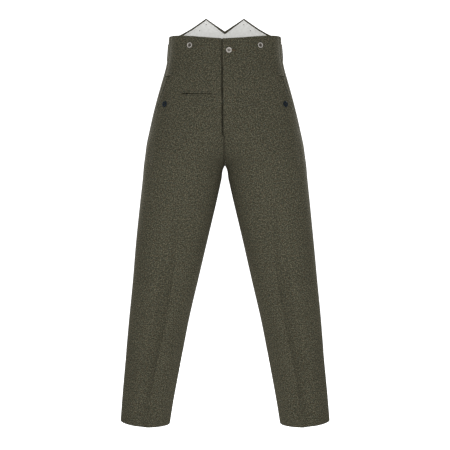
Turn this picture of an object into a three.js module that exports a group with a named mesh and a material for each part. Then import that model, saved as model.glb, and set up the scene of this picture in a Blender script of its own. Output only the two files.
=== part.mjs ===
// High-waisted wool uniform trousers, filled out as when worn, with a fishtail back.
// Millimetres, +Z up, front towards -Y, the wearer's left towards +X.
// The origin lies on the middle axis of the waist, level with the top edge at the centre front.
// Every cloth piece is a thin wall laid out over one body form: a table of cross-sections.

import * as THREE from 'three';

const { clamp, lerp, mapLinear, smoothstep } = THREE.MathUtils;

// Cloth and spacing
const WOOL = 2.0; // thickness of the woollen cloth
const LINING = 1.0; // thickness of the cotton lining
const WELT = 1.3; // thickness of the watch pocket lips
const SEAM = 0.3; // gap between two pieces at a seam
const CLEAR = 0.4; // gap between a piece and the one that it lies on
const DEGREE = Math.PI / 180;

// Cross-sections of one half of the garment, from the top down.
// z: height. side: half width at the side. middle: where the oval would end towards the other
// leg, negative where the two halves run together. front, back: depth before and behind the
// side line. lean: how far the side line lies to the back. round: exponent of the oval.
const SECTIONS = [
  { z: 100, side: 162.4, middle: -162.4, front: 106, back: 111, lean: 0, round: 2.3 },
  { z: 22, side: 162.9, middle: -162.9, front: 108, back: 113, lean: 0, round: 2.3 },
  { z: -32, side: 165.9, middle: -165.9, front: 112, back: 117, lean: 0, round: 2.3 },
  { z: -67, side: 171.2, middle: -171.2, front: 115, back: 121, lean: 0, round: 2.3 },
  { z: -102, side: 180.8, middle: -180.8, front: 117, back: 125, lean: 0, round: 2.3 },
  { z: -154, side: 195.6, middle: -195.6, front: 118, back: 130, lean: 0, round: 2.3 },
  { z: -206, side: 208.9, middle: -190.4, front: 118, back: 132, lean: 1, round: 2.3 },
  { z: -250, side: 218.7, middle: -132.4, front: 116, back: 130, lean: 1, round: 2.25 },
  { z: -290, side: 227.3, middle: -77.4, front: 112, back: 126, lean: 2, round: 2.25 },
  { z: -325, side: 232.1, middle: -33.4, front: 108, back: 122, lean: 3, round: 2.2 },
  { z: -350, side: 235.5, middle: 0.2, front: 105, back: 119, lean: 3, round: 2.2 },
  { z: -391, side: 239.2, middle: 10.1, front: 102, back: 114, lean: 4, round: 2.2 },
  { z: -450, side: 245.7, middle: 23.3, front: 98, back: 107, lean: 5, round: 2.2 },
  { z: -565, side: 257.3, middle: 50.7, front: 92, back: 98, lean: 6, round: 2.15 },
  { z: -681, side: 267.6, middle: 77.6, front: 87, back: 90, lean: 7, round: 2.1 },
  { z: -797, side: 279.1, middle: 104.5, front: 83, back: 85, lean: 8, round: 2.1 },
  { z: -913, side: 288.9, middle: 126.9, front: 79, back: 81, lean: 9, round: 2.05 },
  { z: -1029, side: 299.2, middle: 148.7, front: 76, back: 77, lean: 10, round: 2.05 },
  { z: -1110, side: 305.6, middle: 161.7, front: 74, back: 75, lean: 10, round: 2.05 },
];

// Lines on the cloth at the same heights. seam: angle of the side seam before the side line.
// frontPress, backPress: place of the pressed crease across the leg. ridge: how far the front
// crease stands out.
const LINES = [
  { z: 100, seam: 17, frontPress: 80, backPress: 57, ridge: 0 },
  { z: 22, seam: 17, frontPress: 82, backPress: 57, ridge: 0 },
  { z: -32, seam: 17, frontPress: 87, backPress: 66, ridge: 0 },
  { z: -67, seam: 17, frontPress: 91, backPress: 73, ridge: 0 },
  { z: -102, seam: 17, frontPress: 95, backPress: 80, ridge: 0 },
  { z: -154, seam: 16.5, frontPress: 100, backPress: 88, ridge: 0 },
  { z: -206, seam: 16, frontPress: 103, backPress: 96, ridge: 0 },
  { z: -250, seam: 15, frontPress: 105, backPress: 104, ridge: 0 },
  { z: -290, seam: 14, frontPress: 107, backPress: 110, ridge: 0 },
  { z: -325, seam: 13, frontPress: 109, backPress: 114, ridge: 0 },
  { z: -350, seam: 12, frontPress: 111, backPress: 118, ridge: 0 },
  { z: -391, seam: 10.5, frontPress: 114, backPress: 125, ridge: 0.3 },
  { z: -450, seam: 9, frontPress: 121, backPress: 134, ridge: 1 },
  { z: -565, seam: 9, frontPress: 136, backPress: 154, ridge: 2.8 },
  { z: -681, seam: 9, frontPress: 150.5, backPress: 172, ridge: 4.2 },
  { z: -797, seam: 9, frontPress: 169.5, backPress: 191, ridge: 5.2 },
  { z: -913, seam: 9, frontPress: 193.5, backPress: 208, ridge: 5.8 },
  { z: -1029, seam: 9, frontPress: 214.5, backPress: 224, ridge: 6.2 },
  { z: -1110, seam: 9, frontPress: 223.5, backPress: 233, ridge: 6.2 },
];
const PRESS_REACH = { inside: 22, outside: 9 }; // how far from the crease its ridge fades
const BACK_RIDGE = 0.8; // height of the back crease over the front one

// Levels
const FORK = -350; // where the legs part
const YOKE = -60; // below this level the rows of the panels are level
const HEM = { outside: -1088, inside: -1098, bow: 2.8 }; // lower edge of a leg, square to its slant
const HEM_AT = { outside: 304, inside: 159 }; // where those two ends lie across the leg

// Top edge: it rises from the centre front to the side, then to two peaks at the back
const FRONT_RISE = 19.5; // height of the top edge at the side seam
const WAIST_HALF = 163; // half width of the waist
const FRONT_CURVE = 1.4; // how late the front edge rises
const BACK_EDGE = [
  { x: 0, z: 60 }, // the notch at the centre back
  { x: 57, z: 98 }, // the peak that carries the braces
  { x: 101, z: 64.6 },
  { x: 127, z: 46.5 },
  { x: 141, z: 37.5 },
  { x: 150, z: 30 },
  { x: WAIST_HALF, z: FRONT_RISE },
];

// Fly: the left front laps over the right one as far as the fly's end
const FLY = { end: -274, edgeTop: 6.6, edgeEnd: 3.6, lift: 2.7, flat: 22, width: 46, settle: 28 };

// Slanted side pockets: the front is cut back between these levels, over a bearer
const MOUTH = { top: -98, end: -250, angle: 34, bend: 1.35 };
const BEARER = { hidden: 9, sunk: 1.2, under: 6 };

// Watch pocket on the right front: two lips along a slit
const WATCH = { outer: 120, inner: 38, z: -154, drop: 2.5, lip: 4.6, slit: 0.9 };

// Lining of the fishtail, seen inside the back
const BACK_LINING = { border: 5, bottom: -45, edge: 2, sunk: 0.9 };

// Half-belts of the cinch across the back, and its buckle
const CINCH = { rootAngle: 2, rootHeight: 49, endHeight: 25, z: -21.5, end: 3, lift: 0.8 };
const BUCKLE = { width: 34, height: 35, bar: 3.2, thick: 1.8, corner: 3 };

// Buttons: dished metal for fly and braces, dark sew-through ones on the pockets
const METAL_BUTTON = { radius: 7.6, thick: 2.6, rim: 1.5, dish: 4.5, depth: 1.1 };
const DARK_BUTTON = { radius: 8.5, thick: 3.0, rim: 1.8, dish: 5.4, depth: 0.8 };
const WAIST_BUTTON_AT = { x: 11, z: -34 };
const FRONT_BRACE_AT = { x: 99, z: -17 };
const BACK_BRACE_AT = [{ x: 57, z: 79 }, { x: 77, z: 60 }];
const POCKET_BUTTON_AT = { x: 170, z: -180 };
const BUTTON_SIDES = 20;

// Finishes
const CLOTH = { color: 0x4b493d, roughness: 0.95, metalness: 0 };
const CLOTH_SHADE = { color: 0x45443a, roughness: 0.95, metalness: 0 };
const COTTON = { color: 0xd6d6d2, roughness: 0.9, metalness: 0 };
const STEEL = { color: 0xa5a29c, roughness: 0.4, metalness: 0.9 };
const DARK = { color: 0x1d2630, roughness: 0.45, metalness: 0 };

// Value of one column of a table at a height, by a smooth curve through its rows.
function tableValue(rows, key, level) {
  const n = rows.length;
  const slope = (i) => {
    const a = Math.max(i - 1, 0);
    const b = Math.min(i + 1, n - 1);
    return (rows[b][key] - rows[a][key]) / (rows[b].z - rows[a].z);
  };
  let i = rows.findIndex((row) => row.z < level) - 1;
  if (i < 0) i = level > rows[0].z ? 0 : n - 2;
  const span = rows[i + 1].z - rows[i].z;
  const t = clamp((level - rows[i].z) / span, 0, 1);
  const toNext = 3 * t ** 2 - 2 * t ** 3;
  const rise = (t ** 3 - 2 * t ** 2 + t) * span * slope(i);
  const fall = (t ** 3 - t ** 2) * span * slope(i + 1);
  return lerp(rows[i][key], rows[i + 1][key], toNext) + rise + fall;
}

// Height of the back's top edge over a place across the waist, from the side line backwards.
function backEdge(x) {
  const reach = Math.min(Math.abs(x), BACK_EDGE.at(-1).x);
  const i = Math.max(1, BACK_EDGE.findIndex((p) => p.x >= reach));
  const t = (reach - BACK_EDGE[i - 1].x) / (BACK_EDGE[i].x - BACK_EDGE[i - 1].x);
  return lerp(BACK_EDGE[i - 1].z, BACK_EDGE[i].z, t);
}

// Height of the front's top edge over a place across the waist.
function frontEdge(x) {
  return FRONT_RISE * Math.min(1, Math.abs(x) / WAIST_HALF) ** FRONT_CURVE;
}

// Height of a leg's lower edge over a place across the leg.
function hemEdge(x) {
  const t = (x - HEM_AT.inside) / (HEM_AT.outside - HEM_AT.inside);
  return lerp(HEM.inside, HEM.outside, t) - HEM.bow * 4 * t * (1 - t);
}

// The oval of the left half at one height.
function ovalAt(z) {
  const side = tableValue(SECTIONS, 'side', z);
  const middle = tableValue(SECTIONS, 'middle', z);
  return {
    centre: (side + middle) / 2,
    half: (side - middle) / 2,
    front: tableValue(SECTIONS, 'front', z),
    back: tableValue(SECTIONS, 'back', z),
    lean: tableValue(SECTIONS, 'lean', z),
    round: tableValue(SECTIONS, 'round', z),
    frontPress: tableValue(LINES, 'frontPress', z),
    backPress: tableValue(LINES, 'backPress', z),
    ridge: Math.max(0, tableValue(LINES, 'ridge', z)),
  };
}

const signedPower = (value, power) => Math.sign(value) * Math.abs(value) ** power;

// Angle on the oval that lies over a place across the body.
function angleAt(oval, x) {
  const share = clamp((x - oval.centre) / oval.half, -1, 1);
  return Math.acos(signedPower(share, oval.round / 2));
}

// Point of the body form: angle 0 at the side, positive round the front, negative round the back.
function formPoint(angle, z, fly = false) {
  const oval = ovalAt(z);
  const x = oval.centre + oval.half * signedPower(Math.cos(angle), 2 / oval.round);
  const across = signedPower(Math.sin(angle), 2 / oval.round);
  const front = angle > 0;
  const press = front ? oval.frontPress : oval.backPress;
  const reach = x > press ? PRESS_REACH.outside : PRESS_REACH.inside;
  const ridge = (front ? 1 : BACK_RIDGE) * oval.ridge * Math.exp(-Math.abs(x - press) / reach);
  const depth = front ? oval.front : oval.back;
  let y = oval.lean - across * (depth + ridge);
  if (fly) y -= flyLift(x, z);
  return new THREE.Vector3(x, y, z);
}

// How far the left front stands out where it laps over the fly.
function flyLift(x, z) {
  const across = smoothstep(FLY.width - Math.abs(x), 0, FLY.width - FLY.flat);
  const down = smoothstep(z - FLY.end + FLY.settle, 0, FLY.settle);
  return FLY.lift * across * down;
}

// Direction that the form faces at a point, from its slopes along and across.
function formNormal(angle, z, fly = false) {
  const turn = 0.002;
  const step = 0.5;
  const across = formPoint(angle + turn, z, fly).sub(formPoint(angle - turn, z, fly));
  const along = formPoint(angle, z + step, fly).sub(formPoint(angle, z - step, fly));
  return along.cross(across).normalize();
}

// Angles that bound a panel at one height.
function centreAngle(z, front) {
  const oval = ovalAt(z);
  const depth = front ? oval.front : oval.back;
  const inseam = Math.PI - (SEAM / 2 / depth) ** (oval.round / 2);
  return Math.min(inseam, angleAt(oval, SEAM / 2));
}

function pressAngle(z, front) {
  const oval = ovalAt(z);
  return angleAt(oval, front ? oval.frontPress : oval.backPress);
}

function seamAngle(z) {
  return tableValue(LINES, 'seam', z) * DEGREE;
}

// Half of the seam's gap, as an angle.
function gapAngle(angle, z) {
  const turn = 0.01;
  const run = formPoint(angle + turn, z).distanceTo(formPoint(angle, z));
  return turn * (SEAM / 2) / run;
}

// Angle of the pocket mouth: it slants down to the side seam.
function mouthAngle(z) {
  const t = clamp((MOUTH.top - z) / (MOUTH.top - MOUTH.end), 0, 1);
  return lerp(seamAngle(z), MOUTH.angle * DEGREE, (1 - t) ** MOUTH.bend);
}

// Rows of a panel: shares of the band below the top edge, then levels, then the hem.
const BAND_SHARES = [0, 0.3, 0.65];
const LEVELS = [
  YOKE, -79, MOUTH.top, -124, -152, -182, -216, MOUTH.end, FLY.end, -300, -318, -331, -340, -346.5, FORK,
  -358, -373, -396, -428, -466, -510, -558, -608, -660, -714, -768, -822, -876, -930, -984, -1038,
];
const ROWS = [...BAND_SHARES.map((share) => ({ share })), ...LEVELS.map((z) => ({ z })), { hem: true }];
const CENTRE_SHARES = [0, 0.13, 0.28, 0.45, 0.62, 0.78, 0.9, 1]; // columns from centre to crease
const FRONT_SHARES = [0.1, 0.22, 0.37, 0.53, 0.69, 0.85, 1]; // columns on from crease to side
const BACK_SHARES = [0.1, 0.22, 0.36, 0.5, 0.63, 0.75, 0.86, 0.94, 1]; // the same round the back
const STRIP_SHARES = [0.5, 1]; // columns over the pocket mouth

// Height of a row in a column: the column's angle and its place across depend on each other.
function rowHeight(row, angleOf, backLimit) {
  if (row.z !== undefined) return row.z;
  let end = row.hem ? HEM.outside : FRONT_RISE;
  for (let turn = 0; turn < 6; turn += 1) {
    const topEdge = angleOf(end) < 0 ? backLimit : frontEdge;
    end = (row.hem ? hemEdge : topEdge)(formPoint(angleOf(end), end).x);
  }
  return row.hem ? end : lerp(end, YOKE, row.share);
}

// A grid of points with their facing, column by column, for angles given as functions of height.
function formGrid(columns, rows, { fly = false, backLimit = backEdge } = {}) {
  return columns.map((angleOf) => rows.map((row) => {
    const z = rowHeight(row, angleOf, backLimit);
    const angle = angleOf(z);
    return { point: formPoint(angle, z, fly), normal: formNormal(angle, z, fly) };
  }));
}

// Closed wall over the cells of a grid: its faces lie at two heights over the grid's points.
function wallGeometry(grid, top, bottom, filled = () => true) {
  const rows = grid[0].length;
  const positions = [];
  for (const height of [top, bottom]) {
    for (const column of grid) {
      for (const { point, normal } of column) {
        positions.push(...point.clone().addScaledVector(normal, height).toArray());
      }
    }
  }
  const under = grid.length * rows;
  const at = (i, j) => i * rows + j;
  const has = (i, j) => i >= 0 && j >= 0 && i < grid.length - 1 && j < rows - 1 && filled(i, j);
  const index = [];
  const quad = (a, b, c, d) => index.push(a, b, c, a, c, d);
  for (let i = 0; i < grid.length - 1; i += 1) {
    for (let j = 0; j < rows - 1; j += 1) {
      if (!has(i, j)) continue;
      const [a, b, c, d] = [at(i, j), at(i, j + 1), at(i + 1, j + 1), at(i + 1, j)];
      quad(a, b, c, d);
      quad(d + under, c + under, b + under, a + under);
      if (!has(i - 1, j)) quad(b, a, a + under, b + under);
      if (!has(i, j + 1)) quad(c, b, b + under, c + under);
      if (!has(i + 1, j)) quad(d, c, c + under, d + under);
      if (!has(i, j - 1)) quad(a, d, d + under, a + under);
    }
  }
  return compactGeometry(positions, index);
}

// Geometry with only the points that its faces use.
function compactGeometry(positions, index) {
  const place = new Map();
  const kept = [];
  const faces = index.map((old) => {
    if (!place.has(old)) {
      place.set(old, kept.length / 3);
      kept.push(...positions.slice(old * 3, old * 3 + 3));
    }
    return place.get(old);
  });
  const geometry = new THREE.BufferGeometry();
  geometry.setAttribute('position', new THREE.Float32BufferAttribute(kept, 3));
  geometry.setIndex(faces);
  return geometry;
}

// The same geometry on the other side of the body, with its faces still pointing out.
function mirrored(geometry) {
  const copy = geometry.clone();
  copy.scale(-1, 1, 1);
  const index = Array.from(copy.getIndex().array);
  for (let i = 0; i < index.length; i += 3) [index[i + 1], index[i + 2]] = [index[i + 2], index[i + 1]];
  copy.setIndex(index);
  return copy;
}

// Faces turned round where a grid runs the other way.
function turned(geometry) {
  const index = Array.from(geometry.getIndex().array);
  for (let i = 0; i < index.length; i += 3) [index[i + 1], index[i + 2]] = [index[i + 2], index[i + 1]];
  geometry.setIndex(index);
  return geometry;
}

// Columns of a front panel from the centre to the side seam.
function frontColumns() {
  const centre = (z) => centreAngle(z, true);
  const press = (z) => pressAngle(z, true);
  const seam = (z) => seamAngle(z) + gapAngle(seamAngle(z), z);
  const end = (z) => Math.max(mouthAngle(z), seam(z));
  const inner = CENTRE_SHARES.map((share) => (z) => lerp(centre(z), press(z), share));
  const outer = FRONT_SHARES.map((share) => (z) => lerp(press(z), end(z), share));
  const strip = STRIP_SHARES.map((share) => (z) => lerp(end(z), seam(z), share));
  return [...inner, ...outer, ...strip];
}

// Columns of a back panel from the centre to the side seam.
function backColumns() {
  const centre = (z) => centreAngle(z, false);
  const press = (z) => pressAngle(z, false);
  const end = (z) => -seamAngle(z) + gapAngle(seamAngle(z), z);
  const inner = CENTRE_SHARES.map((share) => (z) => -lerp(centre(z), press(z), share));
  const outer = BACK_SHARES.map((share) => (z) => -lerp(press(z), end(z), share));
  return [...inner, ...outer];
}

const mouthColumn = CENTRE_SHARES.length + FRONT_SHARES.length - 1;
const mouthRow = ROWS.findIndex((row) => row.z === MOUTH.top);
const flyRow = ROWS.findIndex((row) => row.z === FLY.end);

// A front panel: beyond the mouth's column it reaches the side seam only above the mouth.
function rightFront() {
  const grid = formGrid(frontColumns(), ROWS);
  return wallGeometry(grid, 0, -WOOL, (i, j) => i < mouthColumn || j < mouthRow);
}

// The left front also laps over the right one by a narrow strip down to the fly's end.
function leftFront() {
  const grid = formGrid(frontColumns(), ROWS, { fly: true });
  const lap = grid[0].map(({ point, normal }, j) => {
    if (j > flyRow) return { point, normal };
    const reach = mapLinear(point.z, 0, FLY.end, FLY.edgeTop, FLY.edgeEnd);
    const angle = angleAt(ovalAt(point.z), reach);
    const twin = formPoint(angle, point.z, true);
    const facing = formNormal(angle, point.z, true);
    normal.setX(0).normalize();
    return { point: twin.setX(-reach), normal: facing.setX(-facing.x) };
  });
  const filled = (i, j) => (i === 0 ? j < flyRow : i <= mouthColumn || j < mouthRow);
  return wallGeometry([lap, ...grid], 0, -WOOL, filled);
}

function leftBack() {
  return turned(wallGeometry(formGrid(backColumns(), ROWS), 0, -WOOL));
}

// Lining inside the back, a border's width below its top edge.
function leftLining() {
  const panel = backColumns();
  const columns = panel.map((angleOf, i) => (i === panel.length - 1
    ? (z) => angleOf(z) - BACK_LINING.edge * DEGREE
    : angleOf));
  const backLimit = (x) => {
    const slant = (backEdge(x + 1) - backEdge(Math.max(0, x - 1))) / (x < 1 ? x + 1 : 2);
    return backEdge(x) - BACK_LINING.border * Math.hypot(1, slant);
  };
  const rows = [...BAND_SHARES.map((share) => ({ share })), { z: BACK_LINING.bottom }];
  const outside = -WOOL - BACK_LINING.sunk;
  return turned(wallGeometry(formGrid(columns, rows, { backLimit }), outside, outside - LINING));
}

// Pocket bearer: the cloth that shows in the mouth, under the edges of both panels.
function leftBearer() {
  const margin = (z) => BEARER.hidden / formPoint(seamAngle(z), z).length() * 2;
  const shares = [0, 0.25, 0.5, 0.75, 1];
  const columns = shares.map((share) => (z) => lerp(
    mouthAngle(z) + margin(z),
    seamAngle(z) - margin(z),
    share,
  ));
  const mouthRows = ROWS.filter((row) => row.z <= MOUTH.top && row.z >= MOUTH.end);
  const rows = [{ z: MOUTH.top + BEARER.under }, ...mouthRows, { z: MOUTH.end - BEARER.under }];
  const grid = formGrid(columns, rows);
  return wallGeometry(grid, -WOOL - BEARER.sunk, -2 * WOOL - BEARER.sunk);
}

// One lip of the watch pocket, above or below its slit, on the right front.
function watchLip(above) {
  const columns = 8;
  const oneSide = above ? WATCH.slit / 2 : -WATCH.slit / 2 - WATCH.lip;
  const grid = [];
  for (let i = 0; i <= columns; i += 1) {
    const share = i / columns;
    const x = lerp(WATCH.inner, WATCH.outer, share);
    const middle = WATCH.z - WATCH.drop * (1 - share);
    grid.push([oneSide + WATCH.lip, oneSide].map((offset) => {
      const angle = angleAt(ovalAt(middle + offset), x);
      return { point: formPoint(angle, middle + offset), normal: formNormal(angle, middle + offset) };
    }));
  }
  return wallGeometry(grid, CLEAR + WELT, CLEAR);
}

// Half-belt from the side round to the centre back, narrowing towards the buckle.
function leftHalfBelt() {
  const root = -CINCH.rootAngle * DEGREE;
  const endOf = (z) => -angleAt(ovalAt(z), CINCH.end);
  const between = (angle) => angle < root && angle > endOf(CINCH.z);
  const panel = backColumns().reverse().filter((angleOf) => between(angleOf(CINCH.z)));
  const columns = [() => root, ...panel, endOf];
  const grid = columns.map((angleOf) => {
    const share = angleOf(CINCH.z) / endOf(CINCH.z);
    const height = lerp(CINCH.rootHeight, CINCH.endHeight, smoothstep(share, 0, 1));
    return [0.5, 0.17, -0.17, -0.5].map((part) => {
      const z = CINCH.z + part * height;
      return { point: formPoint(angleOf(z), z), normal: formNormal(angleOf(z), z) };
    });
  });
  return wallGeometry(grid, CINCH.lift + WOOL, CINCH.lift);
}

// Frame of the cinch buckle with a bar down its middle, its back at height 0 of the Y axis.
function buckleGeometry() {
  const { width, height, bar, thick, corner } = BUCKLE;
  const outline = new THREE.Shape();
  roundedRectangle(outline, -width / 2, -height / 2, width, height, corner);
  const windowWidth = (width - 3 * bar) / 2;
  for (const left of [-width / 2 + bar, bar / 2]) {
    const opening = new THREE.Path();
    roundedRectangle(opening, left, -height / 2 + bar, windowWidth, height - 2 * bar, corner / 3);
    outline.holes.push(opening);
  }
  const solid = { depth: thick, bevelEnabled: false, curveSegments: 3 };
  const geometry = new THREE.ExtrudeGeometry(outline, solid);
  geometry.rotateX(-Math.PI / 2);
  return geometry;
}

function roundedRectangle(path, x, y, width, height, r) {
  path.moveTo(x + r, y);
  path.lineTo(x + width - r, y);
  path.absarc(x + width - r, y + r, r, -Math.PI / 2, 0);
  path.lineTo(x + width, y + height - r);
  path.absarc(x + width - r, y + height - r, r, 0, Math.PI / 2);
  path.lineTo(x + r, y + height);
  path.absarc(x + r, y + height - r, r, Math.PI / 2, Math.PI);
  path.lineTo(x, y + r);
  path.absarc(x + r, y + r, r, Math.PI, Math.PI * 1.5);
}

// A round button with a raised rim and a dished middle, its back at height 0 of its own axis.
function buttonGeometry({ radius, thick, rim, dish, depth }) {
  const profile = [
    [0, 0],
    [radius - rim, 0],
    [radius, thick * 0.45],
    [radius - rim / 3, thick * 0.88],
    [radius - rim, thick],
    [dish, thick - depth],
    [0, thick - depth],
  ].map(([r, h]) => new THREE.Vector2(r, h));
  return new THREE.LatheGeometry(profile, BUTTON_SIDES);
}

// A named mesh with its finish.
function piece(name, geometry, finish) {
  const mesh = new THREE.Mesh(geometry, new THREE.MeshStandardMaterial(finish));
  mesh.name = name;
  return mesh;
}

// Turns a mesh so that its Y axis faces away from the form, and moves it out from there.
function seat(mesh, point, facing, height) {
  mesh.quaternion.setFromUnitVectors(new THREE.Vector3(0, 1, 0), facing);
  mesh.position.copy(point).addScaledVector(facing, height);
  return mesh;
}

// A button sewn on the form at a place across and up, on either side and either face.
function buttonOn(name, size, finish, { x, z }, { side = 1, front = true, fly = false } = {}) {
  const angle = (front ? 1 : -1) * angleAt(ovalAt(z), x);
  const point = formPoint(angle, z, fly);
  const facing = formNormal(angle, z, fly);
  point.x *= side;
  facing.x *= side;
  return seat(piece(name, buttonGeometry(size), finish), point, facing, CLEAR);
}

function buildPanels() {
  const group = new THREE.Group();
  const back = leftBack();
  group.add(
    piece('front_right', mirrored(rightFront()), CLOTH),
    piece('front_left', leftFront(), CLOTH),
    piece('back_right', mirrored(back), CLOTH_SHADE),
    piece('back_left', back, CLOTH_SHADE),
  );
  return group;
}

function buildLining() {
  const group = new THREE.Group();
  const lining = leftLining();
  group.add(piece('lining_right', mirrored(lining), COTTON), piece('lining_left', lining, COTTON));
  return group;
}

function buildPockets() {
  const group = new THREE.Group();
  const bearer = leftBearer();
  group.add(
    piece('pocket_bearer_right', mirrored(bearer), CLOTH_SHADE),
    piece('pocket_bearer_left', bearer, CLOTH_SHADE),
    piece('watch_pocket_upper_lip', mirrored(watchLip(true)), CLOTH),
    piece('watch_pocket_lower_lip', mirrored(watchLip(false)), CLOTH),
    buttonOn('pocket_button_right', DARK_BUTTON, DARK, POCKET_BUTTON_AT, { side: -1 }),
    buttonOn('pocket_button_left', DARK_BUTTON, DARK, POCKET_BUTTON_AT),
  );
  return group;
}

function buildCinch() {
  const group = new THREE.Group();
  const belt = leftHalfBelt();
  const centre = -angleAt(ovalAt(CINCH.z), 0);
  const point = formPoint(centre, CINCH.z);
  const facing = formNormal(centre, CINCH.z);
  const height = CINCH.lift + WOOL + CLEAR;
  group.add(
    piece('cinch_strap_right', mirrored(belt), CLOTH),
    piece('cinch_strap_left', belt, CLOTH),
    seat(piece('cinch_buckle', buckleGeometry(), STEEL), point, facing, height),
  );
  return group;
}

function buildMetalButtons() {
  const group = new THREE.Group();
  group.add(buttonOn('waist_button', METAL_BUTTON, STEEL, WAIST_BUTTON_AT, { fly: true }));
  const braceButton = (name, at, places) => buttonOn(name, METAL_BUTTON, STEEL, at, places);
  for (const [word, side] of [['right', -1], ['left', 1]]) {
    group.add(braceButton(`brace_button_front_${word}`, FRONT_BRACE_AT, { side }));
    for (const [place, at] of [['inner', BACK_BRACE_AT[0]], ['outer', BACK_BRACE_AT[1]]]) {
      group.add(braceButton(`brace_button_back_${place}_${word}`, at, { side, front: false }));
    }
  }
  return group;
}

const trousers = new THREE.Group();
trousers.add(buildPanels(), buildLining(), buildPockets(), buildCinch(), buildMetalButtons());

export default trousers;
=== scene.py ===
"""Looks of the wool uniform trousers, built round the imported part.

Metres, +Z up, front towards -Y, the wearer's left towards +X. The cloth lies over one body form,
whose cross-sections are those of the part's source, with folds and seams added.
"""

import logging
import math
from dataclasses import dataclass, field, fields
from enum import Enum
from typing import Callable, Sequence

import bmesh
import bpy
import numpy as np
from mathutils import Matrix, Vector


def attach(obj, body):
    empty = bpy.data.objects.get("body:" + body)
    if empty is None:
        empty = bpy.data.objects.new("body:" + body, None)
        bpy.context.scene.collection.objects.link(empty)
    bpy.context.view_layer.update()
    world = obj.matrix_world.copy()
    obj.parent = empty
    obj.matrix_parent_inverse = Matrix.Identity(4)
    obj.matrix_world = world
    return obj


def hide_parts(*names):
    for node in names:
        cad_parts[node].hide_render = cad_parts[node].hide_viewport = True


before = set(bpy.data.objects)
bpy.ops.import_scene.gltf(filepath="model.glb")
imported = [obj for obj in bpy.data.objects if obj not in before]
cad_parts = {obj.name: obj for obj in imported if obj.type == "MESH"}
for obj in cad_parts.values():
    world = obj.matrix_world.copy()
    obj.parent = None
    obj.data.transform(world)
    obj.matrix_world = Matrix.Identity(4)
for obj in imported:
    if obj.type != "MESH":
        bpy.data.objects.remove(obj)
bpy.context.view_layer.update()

LOG = logging.getLogger("trousers")
BODY = "root"  # the part's one body: nothing on it moves

MM = 0.001
WOOL = 2.0 * MM  # woollen cloth
COTTON = 1.0 * MM  # cotton lining
SEAM = 0.015 * MM  # gap between two pieces where they are sewn shut
CLEAR = 0.4 * MM  # gap between a piece and the one that it lies on


class Side(Enum):
    """Which half of the garment a piece belongs to, as the wearer names it."""

    RIGHT = -1
    LEFT = 1

    @property
    def word(self) -> str:
        """The side's word as it stands in the names of pieces."""
        return self.name.lower()


class Face(Enum):
    """Front or back of the body form."""

    FRONT = 1
    BACK = -1


class Slot(Enum):
    """The record's material slots."""

    WOOL = "wool_cloth"
    LINING = "cotton_lining"
    METAL = "metal_button"
    DARK = "dark_button"
    STEEL = "steel_buckle"


# ---- The body form ------------------------------------------------------------------------


@dataclass(frozen=True)
class Section:
    """Level cross-section of the garment's left half, in millimetres and degrees.

    z is its height; side the half width at the side; middle where the oval would end towards the
    other leg; front and back the depths before and behind the side line; lean how far that line
    lies to the back; round the oval's exponent; seam the side seam's angle before the side line;
    front_press and back_press the places of the creases; ridge the front crease's height.
    """

    z: float
    side: float
    middle: float
    front: float
    back: float
    lean: float
    round: float
    seam: float
    front_press: float
    back_press: float
    ridge: float


SECTIONS = (
    Section(100, 162.4, -162.4, 106, 111, 0, 2.3, 17, 80, 57, 0),
    Section(22, 162.9, -162.9, 108, 113, 0, 2.3, 17, 82, 57, 0),
    Section(-32, 165.9, -165.9, 112, 117, 0, 2.3, 17, 87, 66, 0),
    Section(-67, 171.2, -171.2, 115, 121, 0, 2.3, 17, 91, 73, 0),
    Section(-102, 180.8, -180.8, 117, 125, 0, 2.3, 17, 95, 80, 0),
    Section(-154, 195.6, -195.6, 118, 130, 0, 2.3, 16.5, 100, 88, 0),
    Section(-206, 208.9, -190.4, 118, 132, 1, 2.3, 16, 103, 96, 0),
    Section(-250, 218.7, -132.4, 116, 130, 1, 2.25, 15, 105, 104, 0),
    Section(-290, 227.3, -77.4, 112, 126, 2, 2.25, 14, 107, 110, 0),
    Section(-325, 232.1, -33.4, 108, 122, 3, 2.2, 13, 109, 114, 0),
    Section(-350, 235.5, 0.2, 105, 119, 3, 2.2, 12, 111, 118, 0),
    Section(-391, 239.2, 10.1, 102, 114, 4, 2.2, 10.5, 114, 125, 0.3),
    Section(-450, 245.7, 23.3, 98, 107, 5, 2.2, 9, 121, 134, 1),
    Section(-565, 257.3, 50.7, 92, 98, 6, 2.15, 9, 136, 154, 2.8),
    Section(-681, 267.6, 77.6, 87, 90, 7, 2.1, 9, 150.5, 172, 4.2),
    Section(-797, 279.1, 104.5, 83, 85, 8, 2.1, 9, 169.5, 191, 5.2),
    Section(-913, 288.9, 126.9, 79, 81, 9, 2.05, 9, 193.5, 208, 5.8),
    Section(-1029, 299.2, 148.7, 76, 77, 10, 2.05, 9, 214.5, 224, 6.2),
    Section(-1110, 305.6, 161.7, 74, 75, 10, 2.05, 9, 223.5, 233, 6.2),
)


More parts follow.
